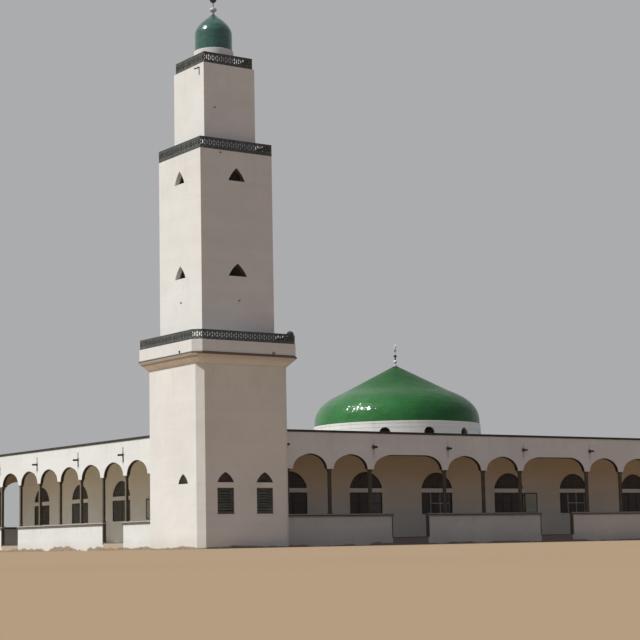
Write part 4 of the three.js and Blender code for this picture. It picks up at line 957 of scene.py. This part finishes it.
# ------------------------------------------------------------------ pierced friezes (claustras)
def claustra(name, node, corners, z0, z1, t, cell, slot="claustra_green"):
    """A pierced screen round the minaret, on every side: a thin plate with a row of upright ovals and waisted gaps
    between two thick rails. corners: the outer corners, anticlockwise, in plan."""
    n = len(corners)
    k = (z1 - z0) / 0.463
    rail_b, rail_t, plate = 0.095 * k, 0.070 * k, 0.045
    zm = (z0 + rail_b + z1 - rail_t) / 2
    whole = bmesh.new()
    rails = Acc()
    for side in range(n):
        a, b = Vector(corners[side]), Vector(corners[(side + 1) % n])
        prev, nxt = Vector(corners[side - 1]), Vector(corners[(side + 2) % n])
        L = (b - a).length
        along = (b - a) / L
        inward = Vector((-along.y, along.x))
        post = 0.030
        count = max(1, round((L - 2 * post) / cell))
        p = (L - 2 * post) / count
        holes = []
        lobe_w, lobe_h, lobe_c, waist = 0.048, 0.058 * k, 0.070 * k, 0.013
        for i in range(count):
            c = post + p * (i + 0.5)
            holes.append([(c + 0.041 * math.cos(s) * (1 - 0.15 * abs(math.sin(s))), zm + 0.100 * k * math.sin(s))
                          for s in [2 * math.pi * j / 18 for j in range(18)]])
            holes.append([(c + 0.036 * math.cos(s), z0 + 0.050 * k + 0.013 * k * math.sin(s)) for s in [2 * math.pi * j / 8 for j in range(8)]])
            holes.append([(c + 0.032 * math.cos(s), z1 - 0.040 * k + 0.010 * k * math.sin(s)) for s in [2 * math.pi * j / 8 for j in range(8)]])
        zs = [q * (lobe_c + lobe_h) * 0.985 for q in (-1.0, -0.90, -0.72, -0.50, -0.28, -0.12, 0.12, 0.28, 0.50, 0.72, 0.90, 1.0)]
        ws = [max(waist, lobe_w * math.sqrt(max(0.0, 1 - ((abs(z) - lobe_c) / lobe_h) ** 2))) if abs(z) > 0.02 * k else waist for z in zs]
        for i in range(count + 1):
            c = post + p * i
            left = [(c - w, zm + z) for w, z in zip(ws, zs)]
            right = [(c + w, zm + z) for w, z in zip(ws, zs)]
            if i == 0:
                left = [(c - 0.002, zm + zs[0]), (c - 0.002, zm + zs[-1])]
            if i == count:
                right = [(c + 0.002, zm + zs[0]), (c + 0.002, zm + zs[-1])]
            holes.append(left + list(reversed(right)))
        outline = [(-t, z0), (L + t, z0), (L + t, z1), (-t, z1)]
        row = Acc()
        row.prism(lambda u, d, z: (*(a + along * u + inward * d), z), outline, holes, 0.0, plate)
        me = bpy.data.meshes.new("row")
        me.from_pydata([W(*q) for q in row.v], [], row.f)
        bm = bmesh.new()
        bm.from_mesh(me)
        bpy.data.meshes.remove(me)
        bmesh.ops.remove_doubles(bm, verts=bm.verts, dist=1e-6)
        # mitre both ends, a hair short of the plane that halves the corner
        for at, other, sign in ((a, prev, 1), (b, nxt, -1)):
            e = (at - other).normalized() if sign == 1 else (other - at).normalized()
            bis = (along + e).normalized()          # along the seam's normal
            gap = 0.0008
            co = Vector(W(at.x, at.y, 0)) + Vector((bis.x, bis.y, 0)) * gap * S * sign
            no = Vector((bis.x, bis.y, 0)) * -sign
            geom = bm.verts[:] + bm.edges[:] + bm.faces[:]
            r = bmesh.ops.bisect_plane(bm, geom=geom, dist=1e-7, plane_co=co, plane_no=no, clear_outer=True)
            cut = [g for g in r["geom_cut"] if isinstance(g, bmesh.types.BMEdge)]
            bmesh.ops.holes_fill(bm, edges=cut, sides=0)
        bmesh.ops.recalc_face_normals(bm, faces=bm.faces)
        tmp = bpy.data.meshes.new("tmp")
        bm.to_mesh(tmp)
        bm.free()
        whole.from_mesh(tmp)
        bpy.data.meshes.remove(tmp)
    me = bpy.data.meshes.new(name)
    whole.to_mesh(me)
    whole.free()
    me.materials.append(M_CLAUSTRA)
    ob = bpy.data.objects.new(name, me)
    bpy.context.scene.collection.objects.link(ob)
    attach(ob, "root")
    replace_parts(ob, node)
    # rails as thick as the screen blocks, behind the plate's foot and head, and a thin lip on their outer face
    for side in range(n):
        a, b = Vector(corners[side]), Vector(corners[(side + 1) % n])
        L = (b - a).length
        along = (b - a) / L
        inward = Vector((-along.y, along.x))
        turn = along.angle(Vector(corners[(side + 2) % n]) - b)
        cut = t * math.tan(turn / 2)
        near = (plate + 0.0005) * math.tan(turn / 2) + 0.001
        fn = lambda u, d, z, a=a, along=along, inward=inward: (*(a + along * u + inward * d), z)
        for za, zb in ((z0 + 0.001, z0 + 0.030 * k), (z1 - 0.030 * k, z1 - 0.001)):
            rails.solid([fn(u, d, z) for z in (za, zb) for u, d in ((near, plate + 0.0005), (L - near, plate + 0.0005), (L - cut, t), (cut, t))],
                        [[0, 3, 2, 1], [4, 5, 6, 7], [0, 1, 5, 4], [1, 2, 6, 5], [2, 3, 7, 6], [3, 0, 4, 7]])
            rails.box(fn, 0.0, L, -0.008, 0.002, za, zb)
    rails.make(name + "_rails", [M_CLAUSTRA], slot, bevel=0.0015, segments=1)
    return ob


def cut_square(h, c):
    if c <= 0:
        return [(-h, -h), (h, -h), (h, h), (-h, h)]
    return [(-h + c, -h), (h - c, -h), (h, -h + c), (h, h - c), (h - c, h), (-h + c, h), (-h, h - c), (-h, -h + c)]


claustra("cornice_screen", "cornice_claustra", cut_square(2.837, 0.36), Z_TC + G, 10.02, 0.12, 0.2605)
claustra("shaft_screen", "shaft_claustra", cut_square(TM, 0), Z_TM + G, 19.32, 0.12, 0.2455)
claustra("lantern_screen", "lantern_claustra", cut_square(TG, 0), Z_TU + G, 23.68, 0.10, 0.2385)


# ------------------------------------------------------------------ main dome, drum, finials
def handmade(ob, amount, scale, seed):
    """A slight unevenness, as left by a float."""
    from mathutils import noise as mn

    off = Vector((seed, seed * 1.7, seed * 0.3))
    for v in ob.data.vertices:
        k = mn.noise((v.co + off) * scale) * 0.65 + mn.noise((v.co + off) * scale * 2.7) * 0.35
        c = Vector((v.co.x - W(DCX, DCY, 0)[0], v.co.y - W(DCX, DCY, 0)[1], 0))
        if c.length > 0.12:
            v.co -= c.normalized() * (k * 0.5 + 0.5) * amount
        v.co.z += k * amount * 0.4 if c.length > 0.12 else 0


line = catmull(DOME, 8)
prof = [*line, (0.0, line[-1][1]), *[(0.0, shell(line, 0.14)[-1][1])], *reversed(shell(line, 0.14))]
acc = Acc()
acc.lathe(prof, DCX, DCY, 144)
dome = acc.make("main_dome_skin", [M_DOME], "green_dome_paint", smooth=50)
handmade(dome, 0.006, 1.9, 3.1)
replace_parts(dome, "main_dome")

# drum: a plain cylinder with two thin joints under the dome, cut by four small arched lights on its south side and
# four on its north side
acc = Acc()
prof = [(R_DRUM_IN, Z_ROOF1 + G), (R_DRUM, Z_ROOF1 + G)]
for zj in (Z_DRUM - 0.40, Z_DRUM - 0.15):
    prof += [(R_DRUM, zj - 0.022), (R_DRUM - 0.018, zj - 0.014), (R_DRUM - 0.018, zj + 0.014), (R_DRUM, zj + 0.022)]
prof += [(R_DRUM, Z_DRUM - 0.012), (R_DRUM - 0.012, Z_DRUM), (R_DRUM_IN, Z_DRUM)]
acc.lathe(prof, DCX, DCY, 144)
drum = acc.make("dome_drum_skin", [M_DRUM, M_DARK], "white_render")
LIGHTS = [math.radians(q) for q in (-45, -15, 15, 45, 135, 165, 195, 225)]
cut = Acc()
for t in LIGHTS:
    ux, uy = math.cos(t), math.sin(t)      # along the light's width
    fn = lambda u, d, z, ux=ux, uy=uy: (DCX + ux * u + uy * (5.6 - d), DCY + uy * u - ux * (5.6 - d), z)
    pts = [(-0.34, 6.28), (0.34, 6.28)] + [(0.34 * math.cos(math.pi * i / 16), 6.63 + 0.34 * math.sin(math.pi * i / 16)) for i in range(17)]
    cut.prism(fn, pts, [], 0.0, 1.2)
cme = bpy.data.meshes.new("cutters")
cme.from_pydata([W(*p) for p in cut.v], [], cut.f)
bm = bmesh.new()
bm.from_mesh(cme)
bmesh.ops.remove_doubles(bm, verts=bm.verts, dist=1e-6)
bmesh.ops.recalc_face_normals(bm, faces=bm.faces)
bm.to_mesh(cme)
bm.free()
cutter = bpy.data.objects.new("cutters", cme)
bpy.context.scene.collection.objects.link(cutter)
mod = drum.modifiers.new("lights", "BOOLEAN")
mod.operation = "DIFFERENCE"
mod.solver = "EXACT"
mod.object = cutter
bpy.context.view_layer.update()
done = bpy.data.meshes.new_from_object(drum.evaluated_get(bpy.context.evaluated_depsgraph_get()))
drum.modifiers.clear()
drum.data = done
bpy.data.objects.remove(cutter)
drum.data.materials.clear()
drum.data.materials.append(M_DRUM)
drum.data.polygons.foreach_set("material_index", [0] * len(drum.data.polygons))
drum.data.polygons.foreach_set("use_smooth", [True] * len(drum.data.polygons))
e = drum.modifiers.new("split", "EDGE_SPLIT")
e.split_angle = math.radians(28)
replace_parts(drum, "dome_drum")

# dark grilles in the drum's lights
acc = Acc()
for t in LIGHTS:
    ux, uy = math.cos(t), math.sin(t)
    fn = lambda u, d, z, ux=ux, uy=uy: (DCX + ux * u + uy * (5.10 - d), DCY + uy * u - ux * (5.10 - d), z)
    arch = lambda w, z0, zs: [(-w, z0), (w, z0)] + [(w * math.cos(math.pi * i / 14), zs + w * math.sin(math.pi * i / 14)) for i in range(15)]
    acc.prism(fn, arch(0.337, 6.283, 6.63), [list(reversed(arch(0.295, 6.325, 6.63)))], 0.0, 0.04)
    for u in (-0.20, -0.10, 0.0, 0.10, 0.20):
        acc.box(fn, u - 0.008, u + 0.008, 0.012, 0.026, 6.30, 6.63 + math.sqrt(0.298 ** 2 - u * u))
    for z in (6.45, 6.60, 6.75):
        acc.box(fn, -0.24, 0.24, 0.014, 0.024, z - 0.007, z + 0.007)
acc.make("dome_drum_grilles", [M_FRAME], "window_glass", bevel=0.001, segments=1)


def crescent(acc, cx, cy, cz, R, r, shift, t, mi, turn):
    """A thin crescent whose horns point up."""
    y = (R * R - r * r + shift * shift) / (2 * shift)
    x = math.sqrt(R * R - y * y)
    o0, i0 = math.atan2(y, -x), math.atan2(y - shift, -x)
    so, si = 2 * math.pi - 2 * (o0 - math.pi / 2), 2 * math.pi - 2 * (i0 - math.pi / 2)
    n = 30
    pts = [(R * math.cos(o0 + so * i / n), cz + R * math.sin(o0 + so * i / n)) for i in range(n + 1)]
    pts += [(r * math.cos(i0 + si * i / n), cz + shift + r * math.sin(i0 + si * i / n)) for i in range(n - 1, 0, -1)]
    ca, sa = math.cos(turn), math.sin(turn)
    acc.prism(lambda u, d, z: (cx + u * ca - d * sa, cy + u * sa + d * ca, z), pts, [], -t / 2, t / 2, mi)


def ball(r, z, squash=1.0, n=14):
    """Profile of a ball on the axis, from bottom to top."""
    return [(r * math.cos(a), z + r * squash * math.sin(a)) for a in [(-math.pi / 2 + 0.2) + (math.pi - 0.4) * i / n for i in range(n + 1)]]


acc = Acc()
z = 11.1208
acc.lathe([(0, z), (0.10, z), (0.07, 11.19), (0.035, 11.25), (0.035, 11.40), (0, 11.40)], DCX, DCY, 24, 2)
acc.lathe([(0, 11.40), (0.045, 11.40), (0.045, 11.76), (0, 11.76)], DCX, DCY, 24, 1)
acc.lathe([(0, 11.76), (0.024, 11.76), (0.022, 12.25), (0, 12.25)], DCX, DCY, 24, 2)
for r, zc, sq in ((0.125, 11.41, 0.75), (0.112, 11.76, 0.7), (0.08, 12.10, 0.55)):
    acc.lathe([(0, zc - r * sq), *ball(r, zc, sq), (0, zc + r * sq)], DCX, DCY, 28, 0 if r > 0.12 else 1)
crescent(acc, DCX, DCY, 12.36, 0.145, 0.105, 0.045, 0.085, 0, math.radians(64))
fin = acc.make("dome_finial_skin", [M_CRESCENT, M_BALL2, M_STEM], "finial_metal", smooth=40)
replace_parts(fin, "dome_finial")

# ------------------------------------------------------------------ minaret top
acc = Acc()
acc.lathe([(0.80, Z_TU + G), (R_CD, Z_TU + G), (R_CD, Z_CD - 0.015), (R_CD - 0.015, Z_CD), (0.80, Z_CD)], 0, 0, 96)
ob = acc.make("cupola_drum_skin", [M_LANT], "white_render", smooth=35)
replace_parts(ob, "cupola_drum")
acc = Acc()
line = [(0.915, Z_CD + G)] + catmull(CUPOLA[1:], 8)
sh = shell(line, 0.06)
acc.lathe([*line, (0, line[-1][1]), (0, sh[-1][1]), *reversed(sh)], 0, 0, 96)
ob = acc.make("cupola_skin", [M_CUPOLA], "green_cupola_paint", smooth=45)
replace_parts(ob, "cupola")
acc = Acc()
acc.lathe([(0, 26.0808), (0.06, 26.0808), (0.05, 26.15), (0.035, 26.16), (0.03, 27.42), (0, 27.42)], 0, 0, 24, 2)
acc.lathe([(0, 26.30 - 0.125), *ball(0.178, 26.30, 0.70), (0, 26.30 + 0.125)], 0, 0, 32, 0)
acc.lathe([(0, 26.81 - 0.15), *ball(0.168, 26.81, 0.90), (0, 26.81 + 0.15)], 0, 0, 32, 1)
acc.lathe([(0, 27.20 - 0.07), *ball(0.085, 27.20, 0.85), (0, 27.20 + 0.07)], 0, 0, 28, 1)
crescent(acc, 0, 0, 27.54, 0.17, 0.14, 0.045, 0.05, 0, 0.0)
ob = acc.make("cupola_finial_skin", [M_BALL, M_BALL2, M_STEM], "finial_metal", smooth=40)
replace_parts(ob, "cupola_finial")


# ------------------------------------------------------------------ louvres of the minaret base
def louvre(name, node, c, w, droop):
    fn = lambda u, d, z: (u, -TB + d, z)
    a, b = c - w / 2 + 0.002, c + w / 2 - 0.002
    z0, z1 = LZ0 + 0.002, LZ1 - 0.002
    acc = Acc()
    acc.prism(fn, [(a, z0), (b, z0), (b, z1), (a, z1)],
              [[(a + 0.045, z0 + 0.05), (a + 0.045, z1 - 0.045), (b - 0.045, z1 - 0.045), (b - 0.045, z0 + 0.05)]], 0.045, 0.115)
    n = 9
    rnd = random.Random(len(name))
    for i in range(n):
        z = z0 + 0.05 + (i + 0.5) * (z1 - z0 - 0.095) / n
        tilt = 0.045 + rnd.uniform(-0.006, 0.006)
        dz = rnd.uniform(-0.004, 0.004)
        q = droop * (0.02 if i == 0 else 0.0)
        vs = []
        for u, s in ((a + 0.04, 0), (b - 0.04, q)):
            for d, zz in ((0.055, -tilt), (0.059, -tilt - 0.008), (0.112, tilt - 0.008), (0.108, tilt)):
                vs.append(fn(u, d, z + dz + zz - s))
        acc.solid(vs, [[0, 1, 2, 3], [4, 7, 6, 5], [0, 4, 5, 1], [1, 5, 6, 2], [2, 6, 7, 3], [3, 7, 4, 0]])
    ob = acc.make(name, [M_LOUVRE], "louvre_paint", bevel=0.0012, segments=1)
    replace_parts(ob, node)
    # rendered sill under the opening
    s = Acc()
    s.box(fn, a - 0.05, b + 0.05, -0.022, 0.03, LZ0 - 0.055, LZ0 - 0.003)
    s.make(name + "_sill", [M_TOWER], "white_render", bevel=0.003)


louvre("louvre_panel_west", "west_louvre", L1[0], L1[1], 1)
louvre("louvre_panel_east", "east_louvre", L2[0], L2[1], 0)


# ------------------------------------------------------------------ plates in the base's pointed lights
def pointed(c, w, z0, z1, inset=0.0):
    """The light's outline, drawn in by inset."""
    w, z0, z1 = w - 4.4 * inset, z0 + inset, z1 - 1.6 * inset
    pts, n = [(c - w / 2, z0), (c + w / 2, z0)], 10
    for a, b, last in (((c + w / 2, z0), (c, z1), n), ((c, z1), (c - w / 2, z0), n - 1)):
        nx, nz = b[1] - a[1], -(b[0] - a[0])
        L = math.hypot(nx, nz)
        for i in range(1, last + 1):
            t = i / n
            k = 4 * t * (1 - t) * P_SWELL * w
            pts.append((a[0] + (b[0] - a[0]) * t + nx / L * k, a[1] + (b[1] - a[1]) * t + nz / L * k))
    return pts


for name, node, light, fn in (
    ("pointed_plate_west", "west_light_plate", P1, lambda u, d, z: (u, -TB + d, z)),
    ("pointed_plate_east", "east_light_plate", P2, lambda u, d, z: (u, -TB + d, z)),
    ("pointed_plate_side", "side_light_plate", P3, lambda u, d, z: (-TB + d, u, z)),
):
    acc = Acc()
    c, w, z0, z1 = light
    acc.prism(fn, pointed(c, w, z0, z1, 0.002), [], 0.030, 0.050)
    acc.prism(fn, pointed(c, w, z0, z1, 0.004), [list(reversed(pointed(c, w, z0, z1, 0.030)))], 0.010, 0.0295)
    for i in range(-3, 4):
        u = i * w * 0.105
        top = z0 + 0.03 + (z1 - z0 - 0.09) * (1 - abs(u) / (w / 2)) * 0.98
        acc.box(fn, c + u - 0.008, c + u + 0.008, 0.016, 0.0295, z0 + 0.028, max(z0 + 0.05, top))
    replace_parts(acc.make(name, [M_PLATE_W if name.endswith("side") else M_PLATE], "light_plate_paint", bevel=0.001, segments=1), node)


# ------------------------------------------------------------------ rain spouts and small fittings
def pipe(acc, p0, direction, length, r, mi=0, n=14, drop=0.06):
    """An open-ended pipe, slightly sloping down outwards."""
    d = Vector(direction).normalized() + Vector((0, 0, -drop))
    d.normalize()
    up = Vector((0, 0, 1))
    s = d.cross(up).normalized()
    u = s.cross(d)
    p0 = Vector(p0)
    verts, faces = [], []
    ring = lambda at, rad: [tuple(at + s * rad * math.cos(2 * math.pi * i / n) + u * rad * math.sin(2 * math.pi * i / n)) for i in range(n)]
    p1 = p0 + d * length
    for at, rad in ((p0, r), (p1, r), (p1, r * 0.78), (p0 + d * length * 0.35, r * 0.78)):
        verts += ring(at, rad)
    for k in range(3):
        for i in range(n):
            j = (i + 1) % n
            faces.append([k * n + i, k * n + j, (k + 1) * n + j, (k + 1) * n + i])
    faces.append(list(range(n)))
    faces.append(list(range(3 * n, 4 * n)))
    acc.solid(verts, faces, mi)


spouts = Acc()
for x in SPOUT_S:
    pipe(spouts, (x, YS + 0.02, 4.875 if x > 4 else 4.93), (0, -1, 0), 0.31, 0.052)
for y in SPOUT_W:
    pipe(spouts, (XW + 0.02, y, 4.835), (-1, 0, 0), 0.31, 0.052)
# two weep pipes in the cornice's fascia, and stubs left in the shaft's and the lantern's walls
pipe(spouts, (1.37, -TC + 0.03, 9.06), (0, -1, 0), 0.062, 0.062)
pipe(spouts, (-TC + 0.03, -1.40, 9.08), (-1, 0, 0), 0.062, 0.055)
for x, z in ((-0.90, 18.64), (0.05, 11.59)):
    pipe(spouts, (x, -TM + 0.03, z), (0, -1, 0), 0.07, 0.035)
pipe(spouts, (-TM + 0.03, -0.07, 11.60), (-1, 0, 0), 0.07, 0.035)
pipe(spouts, (-0.84, -TU + 0.03, 20.96), (0, -1, 0), 0.07, 0.035)
spouts.make("rain_spouts", [M_DARK], "dark_green_coping", smooth=50)

# a squat domed lamp on the cornice screen's top rail, at its south-east corner
lamp = Acc()
lx, ly, lz = 2.42, -2.72, 10.0208
lamp.lathe([(0, lz), (0.170, lz), (0.180, lz + 0.012), (0.180, lz + 0.030), (0.165, lz + 0.036), (0, lz + 0.036)], lx, ly, 40)
lamp.lathe([(0, lz + 0.037)] + [(0.158 * math.cos(q), lz + 0.037 + 0.118 * math.sin(q)) for q in [math.pi / 2 * j / 10 for j in range(10)]]
           + [(0, lz + 0.155)], lx, ly, 40, 1)
for k in range(8):
    t = math.pi * 2 * (k + 0.5) / 8
    fn = lambda u, d, z, t=t: (lx + u * math.cos(t) - d * math.sin(t), ly + u * math.sin(t) + d * math.cos(t), z)
    line = [(0.164 * math.cos(q), lz + 0.037 + 0.124 * math.sin(q)) for q in [math.pi / 2 * j / 8 for j in range(8)]]
    back = [(0.159 * math.cos(q), lz + 0.0372 + 0.1185 * math.sin(q)) for q in [math.pi / 2 * j / 8 for j in range(8)]]
    lamp.prism(fn, line + list(reversed(back)), [], -0.006, 0.006)
lamp.make("corner_lamp", [M_CLAUSTRA, M_MURK], "claustra_green", smooth=40)

# a bent conduit under the lantern screen, on the west side
cond = Acc()
fnw = lambda u, d, z: (-TU - 0.028 + d, u, z)
cond.box(fnw, -1.05, -1.01, 0.0, 0.030, 22.58, 22.97)
cond.solid([fnw(u, d, z) for u, z in ((-1.05, 22.93), (-1.05, 22.97), (-0.57, 23.00), (-0.57, 22.96)) for d in (0.0, 0.030)],
           [[0, 2, 4, 6], [1, 7, 5, 3], [0, 1, 3, 2], [2, 3, 5, 4], [4, 5, 7, 6], [6, 7, 1, 0]])
cond.make("lantern_conduit", [M_DARK], "dark_green_coping", bevel=0.003)


# ------------------------------------------------------------------ materials of the CAD nodes that stay
def dress(node, mat, bevel=None, seg=2):
    o = NODES[node]
    o.data.materials.clear()
    o.data.materials.append(mat)
    if bevel:
        w = o.modifiers.new("weld", "WELD")
        w.merge_threshold = 1e-5
        b = o.modifiers.new("edges", "BEVEL")
        b.width = bevel
        b.segments = seg
        b.limit_method = "ANGLE"
        b.angle_limit = math.radians(40)
        b.loop_slide = False


for name, mat, bev in (
    ("hall_floor", M_SCREED, None),
    ("south_gallery", M_WALL_S, 0.004), ("west_gallery", M_WALL, 0.003), ("north_gallery", M_WALL, 0.004), ("east_gallery", M_WALL, 0.004),
    ("hall_south_wall", M_HALL, None), ("hall_west_wall", M_HALL_W, None), ("hall_north_wall", M_HALL, None), ("hall_east_wall", M_HALL, None),
    ("roof_slab", M_ROOF, None), ("parapet_coping", M_COPING, 0.005),
    ("minaret_base", M_TOWER, 0.006), ("minaret_cornice", M_CORN, 0.006),
    ("minaret_shaft", M_SHAFT, 0.006), ("minaret_lantern", M_LANT, 0.006),
):
    dress(name, mat, bev)

# ------------------------------------------------------------------ stage, light and camera
me = bpy.data.meshes.new("floor")
R = 900.0
me.from_pydata([(-R, -R, 0), (R, -R, 0), (R, R, 0), (-R, R, 0)], [], [[0, 1, 2, 3]])
floor = bpy.data.objects.new("floor", me)
bpy.context.scene.collection.objects.link(floor)
fm = Mat("stage_floor", rough=0.95, spec=0.1)
fm.color(fm.mix(fm.remap(fm.noise(0.12, 3, 0.5), 0.4, 0.6), (0.393, 0.280, 0.174), (0.405, 0.289, 0.181)))
me.materials.append(fm.m)
floor.location.z = -0.0005

world = bpy.data.worlds.new("sky")
bpy.context.scene.world = world
world.use_nodes = True
bg = world.node_tree.nodes["Background"]
# a soft sky: pale behind the building as the camera sees it, deeper towards the south
wt = world.node_tree
wc = wt.nodes.new("ShaderNodeTexCoord")
ws = wt.nodes.new("ShaderNodeSeparateXYZ")
wr = wt.nodes.new("ShaderNodeMapRange")
wm = wt.nodes.new("ShaderNodeMix")
wr.interpolation_type = "SMOOTHSTEP"
wr.inputs[1].default_value, wr.inputs[2].default_value = -0.75, 0.60
wm.data_type = "RGBA"
wm.inputs[6].default_value = (0.215, 0.238, 0.318, 1)
wm.inputs[7].default_value = (0.410, 0.413, 0.424, 1)
wt.links.new(wc.outputs["Generated"], ws.inputs[0])
wt.links.new(ws.outputs[1], wr.inputs[0])
wt.links.new(wr.outputs[0], wm.inputs[0])
wt.links.new(wm.outputs[2], bg.inputs[0])
bg.inputs[1].default_value = 1.0

sun = bpy.data.lights.new("key", "SUN")
sun.energy = 3.5
sun.angle = math.radians(4)
sun.color = (1.0, 1.0, 0.975)
key = bpy.data.objects.new("key", sun)
bpy.context.scene.collection.objects.link(key)
el, az = math.radians(47), math.radians(12)
to_sun = Vector((-math.cos(el) * math.cos(az), math.cos(el) * math.sin(az), math.sin(el)))
key.rotation_mode = "QUATERNION"
key.rotation_quaternion = to_sun.to_track_quat("Z", "Y")

cam_data = bpy.data.cameras.new("camera")
cam_data.sensor_width = 36
cam_data.lens = 96.784
cam_data.clip_start, cam_data.clip_end = 0.5, 3000
cam = bpy.data.objects.new("camera", cam_data)
bpy.context.scene.collection.objects.link(cam)
psi, th, ro = math.radians(55.538), math.radians(7.425), math.radians(-1.108)
fw = Vector((math.cos(psi) * math.cos(th), math.sin(psi) * math.cos(th), math.sin(th)))
rt = Vector((math.sin(psi), -math.cos(psi), 0))
up = rt.cross(fw)
xa = rt * math.cos(ro) + up * math.sin(ro)
ya = up * math.cos(ro) - rt * math.sin(ro)
cam.matrix_world = Matrix.Translation(Vector(W(-42.335, -70.461, 0.11))) @ Matrix((
    (xa.x, ya.x, -fw.x, 0), (xa.y, ya.y, -fw.y, 0), (xa.z, ya.z, -fw.z, 0), (0, 0, 0, 1)))
bpy.context.scene.camera = cam
bpy.context.scene.view_settings.view_transform = "Standard"
